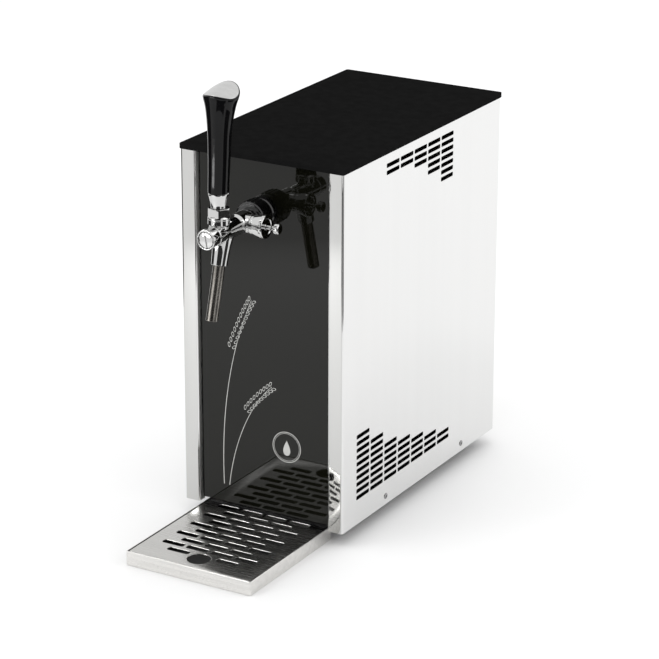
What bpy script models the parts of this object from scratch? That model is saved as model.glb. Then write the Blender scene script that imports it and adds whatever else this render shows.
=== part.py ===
"""Draft beer dispenser: a counter-top beer cooler with one tap, as separate working pieces.

Lengths are in metres and +Z is up. The cabinet frame has its origin at the middle of the lower
front edge of the cabinet's shell, with +Y towards the back. An empty carries that frame, so the
dispenser stands on z = 0 with its box centred on the world's origin.
"""
import math

import bmesh
import bpy
from mathutils import Matrix, Vector

# Clearances, cutting and rounding
GAP = 0.0003
OVERRUN = 0.002
WELD = 0.000001
ROUND_STEPS = 14
FINE_STEPS = 20
SMALL_STEPS = 8
BEND_STEPS = 3
SHARP_ANGLE = math.radians(35)

# Cabinet shell: bent side panels with front strips, returns and rear flanges
SHELL_WIDTH = 0.175
SHELL_DEPTH = 0.313
SHELL_HEIGHT = 0.352
PANEL_SHEET = 0.001
STRIP_WIDTH = 0.0165
STRIP_RETURN = 0.009
BEND_RADIUS = 0.0025
REAR_FLANGE = 0.012

# Vent slots in the side panels: how many each column has, from front to back
VENT_LENGTH = 0.0245
VENT_HEIGHT = 0.0042
VENT_PITCH_Y = 0.027
VENT_PITCH_Z = 0.00688
UPPER_VENT_Y = 0.0924
UPPER_VENT_TOP = 0.3408
UPPER_VENT_COUNTS = (2, 2, 3, 5, 7)
LOWER_VENT_Y = 0.0389
LOWER_VENT_BOTTOM = 0.0271
LOWER_VENT_COUNTS = (10, 8, 6, 5, 4, 3, 2)

# Lid
LID_THICK = 0.0052
LID_OVERHANG = 0.001
LID_CORNER = 0.0025
LID_BEVEL = 0.0008

# Front glass and the folded plate behind it
GLASS_RECESS = 0.005
GLASS_THICK = 0.004
GLASS_WIDTH = 0.140
GLASS_BOTTOM = 0.0035
GLASS_BEVEL = 0.0005
BACKING_SHEET = 0.001
BACKING_TOP_DROP = 0.0012

# Base pan, feet, rear panel and shelf
BASE_WALL_HEIGHT = 0.014
BASE_SHEET = 0.0012
FOOT_HEIGHT = 0.0145
FOOT_RADIUS = 0.0110
FOOT_TAPER = 0.0020
FOOT_EDGE = 0.0010
FOOT_HOLLOW_RADIUS = 0.0045
FOOT_HOLLOW_DEPTH = 0.004
FOOT_SIDE_MARGIN = 0.0192
FOOT_END_MARGIN = 0.0219
REAR_SHEET = 0.001
REAR_BOTTOM = 0.0015
REAR_TOP_DROP = 0.001
REAR_VENT_LENGTH = 0.034
REAR_VENT_COLUMNS = 3
REAR_VENT_ROWS = 8
REAR_VENT_PITCH_X = 0.040
REAR_VENT_BOTTOM = 0.070
SHELF_HEIGHT = 0.176
SHELF_SHEET = 0.0012
SHELF_FLANGE = 0.012
SHELF_SLOT_INSET = 0.0182
SHELF_SLOT_FROM_REAR = 0.1107
SHELF_SLOT_WIDTH = 0.020
SHELF_SLOT_LENGTH = 0.050

# Drip pan and the slotted grid inset in it
TRAY_WIDTH = 0.136
TRAY_REACH = 0.133
TRAY_TUCK = 0.0143
TRAY_WALL = 0.0012
TRAY_FLOOR = 0.0010
TRAY_CORNER = 0.0020
GRID_SHEET = 0.0012
GRID_MARGIN = 0.0008
GRID_SKIRT = 0.0010
GRID_CORNER = 0.0015
GRID_DROP = 0.0002
SLOT_LENGTH = 0.023
SLOT_WIDTH = 0.007
SLOT_CORNER = 0.0020
SLOT_PITCH_X = 0.02635
SLOT_PITCH_Y = 0.012
SLOT_FIRST_Y = 0.0015
SLOT_ROWS = 10
FINGER_HOLE_RADIUS = 0.0112
FINGER_HOLE_Y = -0.113

# Tap barrel along Y, its bores and what it carries
TAP_HEIGHT = 0.3034
BARREL_RADIUS = 0.0094
BARREL_FRONT = -0.0948
BARREL_BACK = -0.0455
BARREL_EDGE = 0.0005
BLOCK_RADIUS = 0.0104
BLOCK_FRONT = -0.0430
BLOCK_BACK = -0.0262
NECK_RADIUS = 0.0078
NECK_FRONT = -0.0230
NECK_BACK = -0.0172
SEAT_FLANGE_RADIUS = 0.0117
SEAT_FLANGE_BACK = -0.0112
CAP_BORE_RADIUS = 0.0080
CAP_BORE_BACK = -0.0900
BARREL_BORE = 0.0064
VALVE_SEAT_FRONT = -0.0580
VALVE_SEAT_BACK = -0.0565
VALVE_SEAT_BORE = 0.0046
CHAMBER_BACK = -0.0465
REAR_BORE = 0.0045
CAP_RADIUS = 0.0077
CAP_RECESS = 0.0006
CAP_SLOT_WIDTH = 0.0014
CAP_SLOT_DEPTH = 0.0015
CAP_SLOT_TILT = math.radians(10)
CAP_EDGE = 0.0004

# Spout: a cast neck and a tube that leans forward
SPOUT_NECK_RADIUS = 0.0094
SPOUT_MOUTH_RADIUS = 0.0076
SPOUT_NECK_LENGTH = 0.0260
SPOUT_ROOT_Y = -0.064135
SPOUT_REACH = 0.0310208
SPOUT_END_Y = -0.0860
SPOUT_END_HEIGHT = 0.2243
SPOUT_RADIUS = 0.0056
SPOUT_BORE = 0.0043
SPOUT_INSERT = 0.0080
SPOUT_LIP = 0.0003

# Lever: ball joint above the barrel
LEVER_Y = -0.0720
PIVOT_HEIGHT = 0.3140
BOSS_RADIUS = 0.0088
BOSS_TOP = 0.3113
TAIL_HOLE_RADIUS = 0.0046
BALL_RADIUS = 0.0048
TAIL_RADIUS = 0.0018
TAIL_LENGTH = 0.0112
STEM_RADIUS = 0.0024
STEM_TOP = 0.3560
BONNET_RADIUS = 0.0101
BONNET_FOOT_RADIUS = 0.0084
BONNET_FOOT = 0.0014
BONNET_DOME = 0.01145
BONNET_MOUTH = 0.0074
COLLAR_FLATS = 0.0190
COLLAR_BOTTOM = 0.3201
COLLAR_TOP = 0.3280
COLLAR_CHAMFER = 0.0006
COLLAR_CLEARANCE = 0.0005
FERRULE_HEIGHT = 0.0136
FERRULE_FOOT_RADIUS = 0.00715
FERRULE_TOP_RADIUS = 0.0094
FERRULE_BAND = 0.0016
HANDLE_POINTS = 20
HANDLE_HEIGHT = 0.0942
HANDLE_RADIUS = 0.0097
HANDLE_SPREAD = 0.0072
HANDLE_LEAN = 0.0064
HANDLE_DEPTH_SHARE = 0.95
HANDLE_TOP_SLOPE = 0.22
HANDLE_TOP_CROWN = 0.0060
HANDLE_PLATE_THICK = 0.0010
HANDLE_PLATE_PROUD = 0.0002
HANDLE_PLATE_MARGIN = 0.0009

# Handle sections from ferrule to top: shares of its height, spread, lean and top shape
HANDLE_SHARES = (
    (0.00, 0.00, 0.00, 0.0),
    (0.19, 0.03, 0.16, 0.0),
    (0.36, 0.08, 0.31, 0.0),
    (0.53, 0.15, 0.42, 0.0),
    (0.65, 0.26, 0.52, 0.1),
    (0.74, 0.39, 0.63, 0.2),
    (0.83, 0.57, 0.77, 0.4),
    (0.90, 0.75, 0.88, 0.7),
    (0.955, 0.92, 0.96, 0.9),
    (0.99, 1.00, 1.00, 1.0),
    (1.00, 0.97, 1.00, 1.0),
)
HANDLE_TOP_SHARES = (0.66, 0.33)

# Plunger in the barrel, moved by the lever's tail
GUIDE_RADIUS = 0.0061
GUIDE_FRONT = -0.0860
GUIDE_BACK = -0.0820
YOKE_RADIUS = 0.0052
YOKE_FRONT = -0.0800
YOKE_BACK = -0.0640
YOKE_SLOT_HALF = 0.0043
YOKE_SLOT_WIDTH = 0.0044
PLUNGER_ROD_RADIUS = 0.0022
PLUNGER_ROD_BACK = -0.0545
SEAL_RADIUS = 0.0058
SEAL_THICK = 0.0025

# Coupling nut, rosette, shank and its back nut
NUT_RADIUS = 0.0160
NUT_FRONT = -0.0205
NUT_BACK = -0.0035
NUT_LIP = 0.0030
NUT_BORE = 0.0121
NUT_CHAMFER = 0.0012
NUT_RIBS = 12
NUT_RIB_DEPTH = 0.0008
FLUTE_SHARE = 0.25
ROSETTE_RADIUS = 0.0153
ROSETTE_EDGE = 0.0022
SHANK_HEAD_RADIUS = 0.0117
SHANK_RADIUS = 0.0080
SHANK_BORE = 0.0045
SHANK_BACK = 0.0450
SHANK_HOLE_CLEARANCE = 0.0003
BACK_NUT_FLATS = 0.0240
BACK_NUT_THICK = 0.0060

# Flow compensator on the tap's right side
COMPENSATOR_Y = -0.0340
SIDE_BOSS_RADIUS = 0.0088
SIDE_BOSS_END = 0.0122
COMPENSATOR_CAP_END = 0.0273
COMPENSATOR_CAP_RADIUS = 0.0115
COMPENSATOR_CAP_WAIST = 0.0092
COMPENSATOR_CAP_RIM = 0.0030
COMPENSATOR_ROD_RADIUS = 0.0022
COMPENSATOR_ROD_START = 0.0062
KNOB_START = 0.0360
KNOB_END = 0.0410
KNOB_RADIUS = 0.0052
KNOB_EDGE = 0.0008

# Rear fittings: across shares are of the inner half width, rise shares from the shelf to the switches
INLET_ACROSS_SHARE = -0.464037
INLET_RISE_SHARE = 0.294574
AIR_ACROSS_SHARE = 0.580046
AIR_RISE_SHARE = 0.697674
COOLING_SWITCH_SHARE = 0.116009
THERMOSTAT_SHARE = -0.510441
FITTING_RADIUS = 0.0090
FITTING_REACH = 0.0150
FITTING_FLATS = 0.0180
FITTING_HEX = 0.0050
FITTING_BORE = 0.0052
FITTING_TAIL_RADIUS = 0.0058
FITTING_TAIL = 0.0100
FITTING_STEM_BORE = 0.0030
COLLET_RADIUS = 0.0050
COLLET_BORE = 0.0041
COLLET_LENGTH = 0.0080
COLLET_FLANGE_RADIUS = 0.0072
COLLET_FLANGE = 0.0015
COLLET_TRAVEL = 0.0015
GLAND_INSET = 0.0202
GLAND_HEIGHT = 0.0400
GLAND_RADIUS = 0.0085
GLAND_REACH = 0.0120
GLAND_BORE = 0.0036
GLAND_WALL = 0.0020
GLAND_TAIL = 0.0060
SWITCH_HEIGHT = 0.3050
SWITCH_WIDTH = 0.0150
SWITCH_TALL = 0.0210
SWITCH_BEZEL = 0.0020
SWITCH_BEZEL_THICK = 0.0020
SWITCH_DEPTH = 0.0160
SWITCH_WALL = 0.0014
SWITCH_POCKET = 0.0080
ROCKER_CLEARANCE = 0.0004
ROCKER_END_CLEARANCE = 0.0011
ROCKER_PIVOT_DEPTH = 0.0030
ROCKER_BACK = 0.0025
ROCKER_MIDDLE = 0.0010
ROCKER_TIP = 0.0026
ROCKER_TILT = math.radians(10)
THERMOSTAT_BODY_RADIUS = 0.0170
THERMOSTAT_BODY_DEPTH = 0.0180
THERMOSTAT_SHAFT_RADIUS = 0.0030
THERMOSTAT_SHAFT_DEPTH = 0.0110
THERMOSTAT_KNOB_EDGE = 0.0012
THERMOSTAT_KNOB_RADIUS = 0.0150
THERMOSTAT_KNOB_THICK = 0.0120
THERMOSTAT_KNOB_RIBS = 12
THERMOSTAT_KNOB_RIB_DEPTH = 0.0008
THERMOSTAT_POINTER_WIDTH = 0.0016
THERMOSTAT_POINTER_DEPTH = 0.0008

# Cooling circuit in the lower chamber
COMPRESSOR_FROM_REAR = 0.0657
COMPRESSOR_RADIUS = 0.0522
COMPRESSOR_HEADROOM = 0.0540
COMPRESSOR_PORT = 0.0180

# Compressor profile from bottom to top: shares of its radius and height
COMPRESSOR_SHARES = (
    (0.72, 0.00), (0.90, 0.05), (0.955, 0.12), (0.955, 0.465), (1.00, 0.475), (1.00, 0.505),
    (0.955, 0.515), (0.955, 0.80), (0.90, 0.90), (0.76, 0.97), (0.56, 1.00), (0.00, 1.00),
)
FOOT_PLATE_SIDE = 0.1160
FOOT_PLATE_THICK = 0.0025
FOOT_PLATE_CORNER = 0.0120
RELAY_CLEARANCE = 0.0117
RELAY_DEPTH = 0.0380
RELAY_TALL = 0.0480
RELAY_DROP = 0.03605
RELAY_EDGE = 0.0020
CONDENSER_FRONT = 0.0220
CONDENSER_DEPTH = 0.0260
CONDENSER_INSET = 0.0182
CONDENSER_HEADROOM = 0.0295
CONDENSER_PORT_INSET = 0.0100
CONDENSER_FINS = 24
CONDENSER_FIN_SHEET = 0.0010
CONDENSER_SPINE = 0.0030
SHROUD_DROP = 0.0210
SHROUD_DEPTH = 0.0260
SHROUD_RIM = 0.0060
SHROUD_STRUT_WIDTH = 0.0060
SHROUD_STRUT_THICK = 0.0035
SHROUD_HUB_RADIUS = 0.0200
FAN_MOTOR_RADIUS = 0.0180
FAN_MOTOR_DEPTH = 0.0100
FAN_SHAFT_RADIUS = 0.0022
FAN_SHAFT_REACH = 0.0060
FAN_HUB_RADIUS = 0.0190
FAN_HUB_DEPTH = 0.0090
FAN_HUB_EDGE = 0.0020
FAN_TIP_CLEARANCE = 0.0030
FAN_BLADES = 5
FAN_BLADE_SHEET = 0.0014
FAN_BLADE_CHORD = 0.0190
FAN_ROOT = 0.0020
FAN_BLADE_PITCH = math.radians(22)
DRIER_RADIUS = 0.0090
DRIER_DROP = 0.0265
DRIER_NECK_RADIUS = 0.0032
DRIER_NECK = 0.0060
DRIER_FROM_REAR = 0.1607
DRIER_BOTTOM = 0.0500

# Beer cooler and air pump in the upper chamber
JACKET_FRONT = 0.0400
JACKET_PUMP_GAP = 0.0160
JACKET_INSET = 0.0162
JACKET_DROP = 0.0311
JACKET_WALL = 0.0120
JACKET_LID = 0.0100
COOLER_DROP = 0.0097
COOLER_EDGE = 0.0030
PUMP_PORT_OFFSET = 0.0100
PUMP_FROM_REAR = 0.0267
PUMP_DEPTH = 0.0780
PUMP_WIDTH = 0.0600
PUMP_DROP = 0.0317
PUMP_EDGE = 0.0060
PUMP_PORT_RADIUS = 0.0040
PUMP_PORT_REACH = 0.0080

# Lines
BEER_LINE_RADIUS = 0.0040
BEER_LINE_INSERT = 0.0080
BEER_PORT_INSET = 0.0400
BEER_RISER_GAP = 0.0150
AIR_LINE_RADIUS = 0.0025
HOT_LINE_RADIUS = 0.0025
COLD_LINE_RADIUS = 0.0030
LINE_HOLE_CLEARANCE = 0.0010
LINE_BEND_POINTS = 4
LINE_BEND_RADIUS = 0.0120
LINE_RISE = 0.0130
UPPER_RUN_DROP = 0.0570
COLD_PORT_SIDE = 0.0180
COLD_PORT_INSET = 0.0250
DISCHARGE_TURN_STEP = 0.0300
CAPILLARY_LOW = 0.0250

# Places worked out from the sizes above
INNER_HALF = SHELL_WIDTH / 2 - PANEL_SHEET - GAP
REAR_HALF = INNER_HALF - BEND_RADIUS + PANEL_SHEET
REAR_FACE = SHELL_DEPTH - PANEL_SHEET - GAP
REAR_INSIDE = REAR_FACE - REAR_SHEET
BASE_BACK = REAR_INSIDE - GAP
GLASS_BACK = GLASS_RECESS + GLASS_THICK
GLASS_TOP = SHELL_HEIGHT - GAP
BACKING_FRONT = GLASS_BACK + GAP
BACKING_BACK = BACKING_FRONT + BACKING_SHEET
TRAY_TOP = -GAP
TRAY_BOTTOM = -FOOT_HEIGHT
BASE_FRONT = TRAY_TUCK - TRAY_WALL
GRID_TOP = TRAY_TOP - GRID_DROP
GRID_BACK = TRAY_TUCK - TRAY_WALL - GRID_MARGIN
SPOUT_ROOT = Vector((0, SPOUT_ROOT_Y, TAP_HEIGHT))
SPOUT_END = Vector((0, SPOUT_END_Y, SPOUT_END_HEIGHT))
SPOUT_WAY = (SPOUT_ROOT - SPOUT_END).normalized()
SPOUT_MOUTH = SPOUT_ROOT - SPOUT_WAY * SPOUT_REACH
TAP_AXIS = Vector((0, 0, TAP_HEIGHT))
PIVOT = Vector((0, LEVER_Y, PIVOT_HEIGHT))
STEM_HOLE = STEM_RADIUS + GAP
FERRULE_BOTTOM = COLLAR_TOP + GAP
HANDLE_BOTTOM = FERRULE_BOTTOM + FERRULE_HEIGHT + GAP
SHANK_FRONT = SEAT_FLANGE_BACK + GAP
SHANK_SHOULDER = NUT_BACK + GAP / 2
ROSETTE_FRONT = SHANK_SHOULDER + GAP
FITTING_FACE = REAR_FACE + GAP
FITTING_END = FITTING_FACE + FITTING_REACH
COLLET_FACE = FITTING_END + COLLET_TRAVEL + GAP
REAR_REACH = COLLET_FACE + COLLET_FLANGE - SHELL_DEPTH
SHELF_SLOT_X = INNER_HALF - SHELF_SLOT_INSET
SHELF_SLOT_Y = REAR_INSIDE - SHELF_SLOT_FROM_REAR
FITTING_ROOM = SWITCH_HEIGHT - SHELF_HEIGHT
INLET_X = INNER_HALF * INLET_ACROSS_SHARE
INLET_HEIGHT = SHELF_HEIGHT + FITTING_ROOM * INLET_RISE_SHARE
AIR_X = INNER_HALF * AIR_ACROSS_SHARE
AIR_HEIGHT = SHELF_HEIGHT + FITTING_ROOM * AIR_RISE_SHARE
COOLING_SWITCH_X = INNER_HALF * COOLING_SWITCH_SHARE
THERMOSTAT_X = INNER_HALF * THERMOSTAT_SHARE
GLAND_X = GLAND_INSET - INNER_HALF
BASE_FLOOR = BASE_SHEET + GAP
COMPRESSOR_BOTTOM = BASE_FLOOR + FOOT_PLATE_THICK
COMPRESSOR_TOP = SHELF_HEIGHT - COMPRESSOR_HEADROOM
COMPRESSOR_HEIGHT = COMPRESSOR_TOP - COMPRESSOR_BOTTOM
COMPRESSOR_Y = REAR_INSIDE - COMPRESSOR_FROM_REAR
COMPRESSOR_BELT = COMPRESSOR_BOTTOM + COMPRESSOR_HEIGHT * COMPRESSOR_SHARES[4][1]
RELAY_HEIGHT = COMPRESSOR_BELT - RELAY_DROP
RELAY_WIDTH = INNER_HALF - COMPRESSOR_RADIUS - GAP - RELAY_CLEARANCE
CONDENSER_WIDTH = 2 * (INNER_HALF - CONDENSER_INSET)
CONDENSER_PORT_X = CONDENSER_WIDTH / 2 - CONDENSER_PORT_INSET
CONDENSER_BACK = CONDENSER_FRONT + CONDENSER_DEPTH
CONDENSER_TOP = SHELF_HEIGHT - CONDENSER_HEADROOM
SHROUD_BACK = CONDENSER_BACK + GAP + SHROUD_DEPTH
SHROUD_SIDE = CONDENSER_TOP - BASE_FLOOR - SHROUD_DROP
SHROUD_HOLE_RADIUS = SHROUD_SIDE / 2 - SHROUD_RIM
FAN_TIP_RADIUS = SHROUD_HOLE_RADIUS - FAN_TIP_CLEARANCE
FAN_HEIGHT = BASE_FLOOR + SHROUD_SIDE / 2
MOTOR_BACK = SHROUD_BACK - SHROUD_STRUT_THICK - GAP
MOTOR_FRONT = MOTOR_BACK - FAN_MOTOR_DEPTH
FAN_BACK = MOTOR_FRONT - GAP
FAN_FRONT = FAN_BACK - FAN_HUB_DEPTH
DRIER_X = -CONDENSER_PORT_X
DRIER_Y = REAR_INSIDE - DRIER_FROM_REAR
DRIER_TOP = CONDENSER_TOP - DRIER_DROP
DRIER_LENGTH = DRIER_TOP - DRIER_BOTTOM
PUMP_BACK = REAR_INSIDE - PUMP_FROM_REAR
PUMP_FRONT = PUMP_BACK - PUMP_DEPTH
PUMP_TOP = AIR_HEIGHT - PUMP_DROP
PUMP_X = AIR_X - PUMP_PORT_OFFSET
JACKET_BACK = PUMP_FRONT - JACKET_PUMP_GAP
JACKET_WIDTH = 2 * (INNER_HALF - JACKET_INSET)
JACKET_BOTTOM = SHELF_HEIGHT + GAP
JACKET_TOP = TAP_HEIGHT - JACKET_DROP
COOLER_BOTTOM = JACKET_BOTTOM + JACKET_WALL + GAP
COOLER_TOP = JACKET_TOP - COOLER_DROP
BEER_OUT_Y = JACKET_FRONT + BEER_PORT_INSET
BEER_IN_Y = JACKET_BACK - BEER_PORT_INSET
BEER_BACK_Y = JACKET_BACK + BEER_RISER_GAP
COLD_PORT_X = JACKET_WIDTH / 2 - COLD_PORT_SIDE
COLD_PORT_Y = JACKET_BACK - COLD_PORT_INSET
UPPER_RUN = SHELL_HEIGHT - UPPER_RUN_DROP
DISCHARGE_TURN_Y = DRIER_Y - DISCHARGE_TURN_STEP
OVERALL_LENGTH = TRAY_REACH + SHELL_DEPTH + REAR_REACH
FRAME_Y = TRAY_REACH - OVERALL_LENGTH / 2


def clear_scene():
    """Remove every object that the scene starts with."""
    for thing in list(bpy.data.objects):
        bpy.data.objects.remove(thing, do_unlink=True)


def finish(name, colour, roughness, metallic=0.0):
    """Make a Principled material."""
    material = bpy.data.materials.new(name)
    material.use_nodes = True
    shader = material.node_tree.nodes["Principled BSDF"]
    shader.inputs["Base Color"].default_value = (*colour, 1.0)
    shader.inputs["Roughness"].default_value = roughness
    shader.inputs["Metallic"].default_value = metallic
    return material


def add_empty(name, place, parent=None):
    """Add an empty that carries other objects."""
    empty = bpy.data.objects.new(name, None)
    empty.location = place
    empty.parent = parent
    bpy.context.scene.collection.objects.link(empty)
    return empty


def add_piece(name, bm, material, origin=(0, 0, 0), sharp=SHARP_ANGLE):
    """Turn a mesh made in the cabinet frame into an object whose origin is at the given point."""
    bmesh.ops.translate(bm, verts=bm.verts, vec=-Vector(origin))
    bmesh.ops.recalc_face_normals(bm, faces=bm.faces)
    mesh = bpy.data.meshes.new(name)
    bm.to_mesh(mesh)
    bm.free()
    mesh.shade_smooth()
    mesh.set_sharp_from_angle(angle=sharp)
    mesh.materials.append(material)
    piece = bpy.data.objects.new(name, mesh)
    piece.location = origin
    piece.parent = bpy.data.objects["cabinet_frame"]
    bpy.context.scene.collection.objects.link(piece)
    return piece


def combine(piece, tool, operation):
    """Cut a tool mesh out of a piece, or add it, with an exact Boolean."""
    guide = add_piece(piece.name + "_tool", tool, piece.data.materials[0])
    guide.hide_render = True
    guide.display_type = "WIRE"
    modifier = piece.modifiers.new(operation.title(), "BOOLEAN")
    modifier.operation = operation
    modifier.solver = "EXACT"
    modifier.object = guide
    piece.modifiers.new("Triangles", "TRIANGULATE")
    return guide


def cut(piece, tool):
    """Cut a tool mesh out of a piece."""
    return combine(piece, tool, "DIFFERENCE")


def add(piece, tool):
    """Join a tool mesh to a piece."""
    return combine(piece, tool, "UNION")


def merged(*meshes):
    """Put several separate meshes into one."""
    first = meshes[0]
    for other in meshes[1:]:
        copy = bpy.data.meshes.new("copy")
        other.to_mesh(copy)
        other.free()
        first.from_mesh(copy)
        bpy.data.meshes.remove(copy)
    return first


def box(low, high):
    """A box between two corners."""
    bm = bmesh.new()
    size = Vector(high) - Vector(low)
    middle = (Vector(high) + Vector(low)) / 2
    bmesh.ops.create_cube(bm, size=1, matrix=Matrix.Translation(middle) @ Matrix.Diagonal((*size, 1)))
    return bm


def soften(bm, width, axis=None, segments=1):
    """Bevel the edges of a box, or only those along one axis."""
    edges = [edge for edge in bm.edges if axis is None or runs_along(edge, axis)]
    bmesh.ops.bevel(bm, geom=edges, offset=width, segments=segments, profile=0.5, affect="EDGES")
    return bm


def runs_along(edge, axis):
    """Tell whether an edge is parallel to an axis."""
    step = edge.verts[1].co - edge.verts[0].co
    return abs(step[axis]) > step.length * math.cos(SHARP_ANGLE)


def prism(outline, axis, start, end):
    """Extrude an outline of two coordinates along X, Y or Z between two places."""
    spread = {
        "X": lambda u, v: (start, u, v),
        "Y": lambda u, v: (u, start, v),
        "Z": lambda u, v: (u, v, start),
    }
    bm = bmesh.new()
    face = bm.faces.new([bm.verts.new(spread[axis](u, v)) for u, v in outline])
    swept = bmesh.ops.extrude_face_region(bm, geom=[face])
    moved = [item for item in swept["geom"] if isinstance(item, bmesh.types.BMVert)]
    along = Vector(("X" == axis, "Y" == axis, "Z" == axis)) * (end - start)
    bmesh.ops.translate(bm, verts=moved, vec=along)
    bmesh.ops.recalc_face_normals(bm, faces=bm.faces)
    return bm


def rectangle(low, high, corner=0, steps=BEND_STEPS):
    """Outline of a rectangle with round corners."""
    corners = ((high[0], low[1]), (high[0], high[1]), (low[0], high[1]), (low[0], low[1]))
    return rounded(corners, corner, steps) if corner else list(corners)


def rounded(corners, radius, steps=BEND_STEPS, closed=True):
    """Round the corners of an outline or an open path with arcs."""
    points = []
    count = len(corners)
    for index, corner in enumerate(corners):
        if not closed and index in (0, count - 1):
            points.append(tuple(corner))
            continue
        here = Vector(corner)
        before = (Vector(corners[index - 1]) - here).normalized()
        after = (Vector(corners[(index + 1) % count]) - here).normalized()
        half = before.angle(after) / 2
        centre = here + (before + after).normalized() * (radius / math.sin(half))
        start = here + before * (radius / math.tan(half)) - centre
        end = here + after * (radius / math.tan(half)) - centre
        turn = math.atan2(start.x * end.y - start.y * end.x, start.dot(end))
        for step in range(steps + 1):
            arm = start.copy()
            arm.rotate(Matrix.Rotation(turn * step / steps, 2))
            points.append(tuple(centre + arm))
    return points


def folded_sheet(corners, radius, sheet):
    """Outline of a sheet whose outer face follows a bent path, with its thickness on the left."""
    outer = rounded(corners, radius, closed=False)
    inner = rounded(offset_path(corners, sheet), radius - sheet, closed=False)
    return outer + inner[::-1]


def offset_path(corners, distance):
    """Move an open path sideways to its left by a distance."""
    points = [Vector(corner) for corner in corners]
    ways = [(after - before).normalized() for before, after in zip(points, points[1:])]
    sides = [Vector((-way.y, way.x)) for way in ways]
    moved = [points[0] + sides[0] * distance]
    for point, first, second in zip(points[1:-1], sides, sides[1:]):
        joint = (first + second).normalized()
        moved.append(point + joint * (distance / joint.dot(first)))
    moved.append(points[-1] + sides[-1] * distance)
    return [tuple(point) for point in moved]


def ring_points(radius, steps, turn=0.0):
    """Points round a circle."""
    angles = [turn + math.tau * step / steps for step in range(steps)]
    return [(radius * math.cos(angle), radius * math.sin(angle)) for angle in angles]


def turned(profile, steps=ROUND_STEPS, place=(0, 0, 0), along=(0, 0, 1)):
    """Spin a profile of (radius, height) points; one that leaves the axis open is closed to a ring."""
    bm = bmesh.new()
    points = [bm.verts.new((radius, 0, height)) for radius, height in profile]
    edges = [bm.edges.new(pair) for pair in zip(points, points[1:])]
    if profile[0][0] or profile[-1][0]:
        edges.append(bm.edges.new((points[-1], points[0])))
    bmesh.ops.spin(bm, geom=points + edges, cent=(0, 0, 0), axis=(0, 0, 1), angle=math.tau, steps=steps)
    bmesh.ops.remove_doubles(bm, verts=bm.verts, dist=WELD)
    bmesh.ops.recalc_face_normals(bm, faces=bm.faces)
    aim(bm, place, along)
    return bm


def aim(bm, place, along):
    """Turn a mesh made along +Z so that it runs along a direction from a place."""
    turn = Vector((0, 0, 1)).rotation_difference(Vector(along)).to_matrix().to_4x4()
    bmesh.ops.transform(bm, matrix=Matrix.Translation(place) @ turn, verts=bm.verts)


def rod(radius, start, end, steps=ROUND_STEPS, edge=0):
    """A round bar between two points."""
    length = (Vector(end) - Vector(start)).length
    inner = radius - edge
    profile = [(0, 0), (inner, 0), (radius, edge), (radius, length - edge), (inner, length), (0, length)]
    if not edge:
        profile = [(0, 0), (radius, 0), (radius, length), (0, length)]
    return turned(profile, steps, start, Vector(end) - Vector(start))


def hexagon(flats, start, end, chamfer=0, turn=0.0):
    """A hexagonal bar or nut along Z between two heights."""
    corner = flats / 2 / math.cos(math.pi / 6)
    bm = prism(ring_points(corner, 6, turn), "Z", start, end)
    if chamfer:
        flat_ends = [face for face in bm.faces if abs(face.normal.z) > math.cos(SHARP_ANGLE)]
        rims = list({edge for face in flat_ends for edge in face.edges})
        bmesh.ops.bevel(bm, geom=rims, offset=chamfer, segments=1, profile=0.5, affect="EDGES")
    return bm


def loft(rings):
    """Skin a stack of rings that have as many points each, and cap its ends."""
    bm = bmesh.new()
    rows = [[bm.verts.new(point) for point in ring] for ring in rings]
    count = len(rows[0])
    for lower, upper in zip(rows, rows[1:]):
        for index in range(count):
            after = (index + 1) % count
            bm.faces.new((lower[index], lower[after], upper[after], upper[index]))
    bm.faces.new(rows[0][::-1])
    bm.faces.new(rows[-1])
    bmesh.ops.recalc_face_normals(bm, faces=bm.faces)
    return bm


def open_box(low, high, wall, floor, corner=0, opens_up=True):
    """A tray with walls and a floor, or the same upside down, its plan corners rounded."""
    bm = prism(rectangle(low[:2], high[:2], corner), "Z", low[2], high[2])
    pick = max if opens_up else min
    mouth = pick(bm.faces, key=lambda face: face.calc_center_median().z)
    bmesh.ops.inset_region(bm, faces=[mouth], thickness=wall, use_even_offset=True)
    inside = bmesh.ops.extrude_face_region(bm, geom=[mouth])
    moved = [item for item in inside["geom"] if isinstance(item, bmesh.types.BMVert)]
    bmesh.ops.delete(bm, geom=[mouth], context="FACES_ONLY")
    depth = high[2] - low[2] - floor
    bmesh.ops.translate(bm, verts=moved, vec=(0, 0, -depth if opens_up else depth))
    return bm


def add_line(name, points, radius, material):
    """A bent pipe through a list of corners, each rounded, with filled ends."""
    smooth = bend_corners([Vector(point) for point in points])
    curve = bpy.data.curves.new(name, "CURVE")
    curve.dimensions = "3D"
    curve.bevel_depth = radius
    curve.bevel_resolution = 2
    curve.use_fill_caps = True
    spline = curve.splines.new("POLY")
    spline.points.add(len(smooth) - 1)
    for slot, point in zip(spline.points, smooth):
        slot.co = (*point, 1)
    curve.materials.append(material)
    piece = bpy.data.objects.new(name, curve)
    piece.parent = bpy.data.objects["cabinet_frame"]
    bpy.context.scene.collection.objects.link(piece)
    return piece


def bend_corners(points):
    """Replace each inner corner of a path in space with an arc."""
    smooth = [points[0]]
    for before, here, after in zip(points, points[1:], points[2:]):
        reach = min(LINE_BEND_RADIUS, (here - before).length / 2, (after - here).length / 2)
        start = here + (before - here).normalized() * reach
        end = here + (after - here).normalized() * reach
        for step in range(LINE_BEND_POINTS):
            share = step / (LINE_BEND_POINTS - 1)
            smooth.append(start.lerp(here, share).lerp(here.lerp(end, share), share))
    smooth.append(points[-1])
    return smooth


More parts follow.
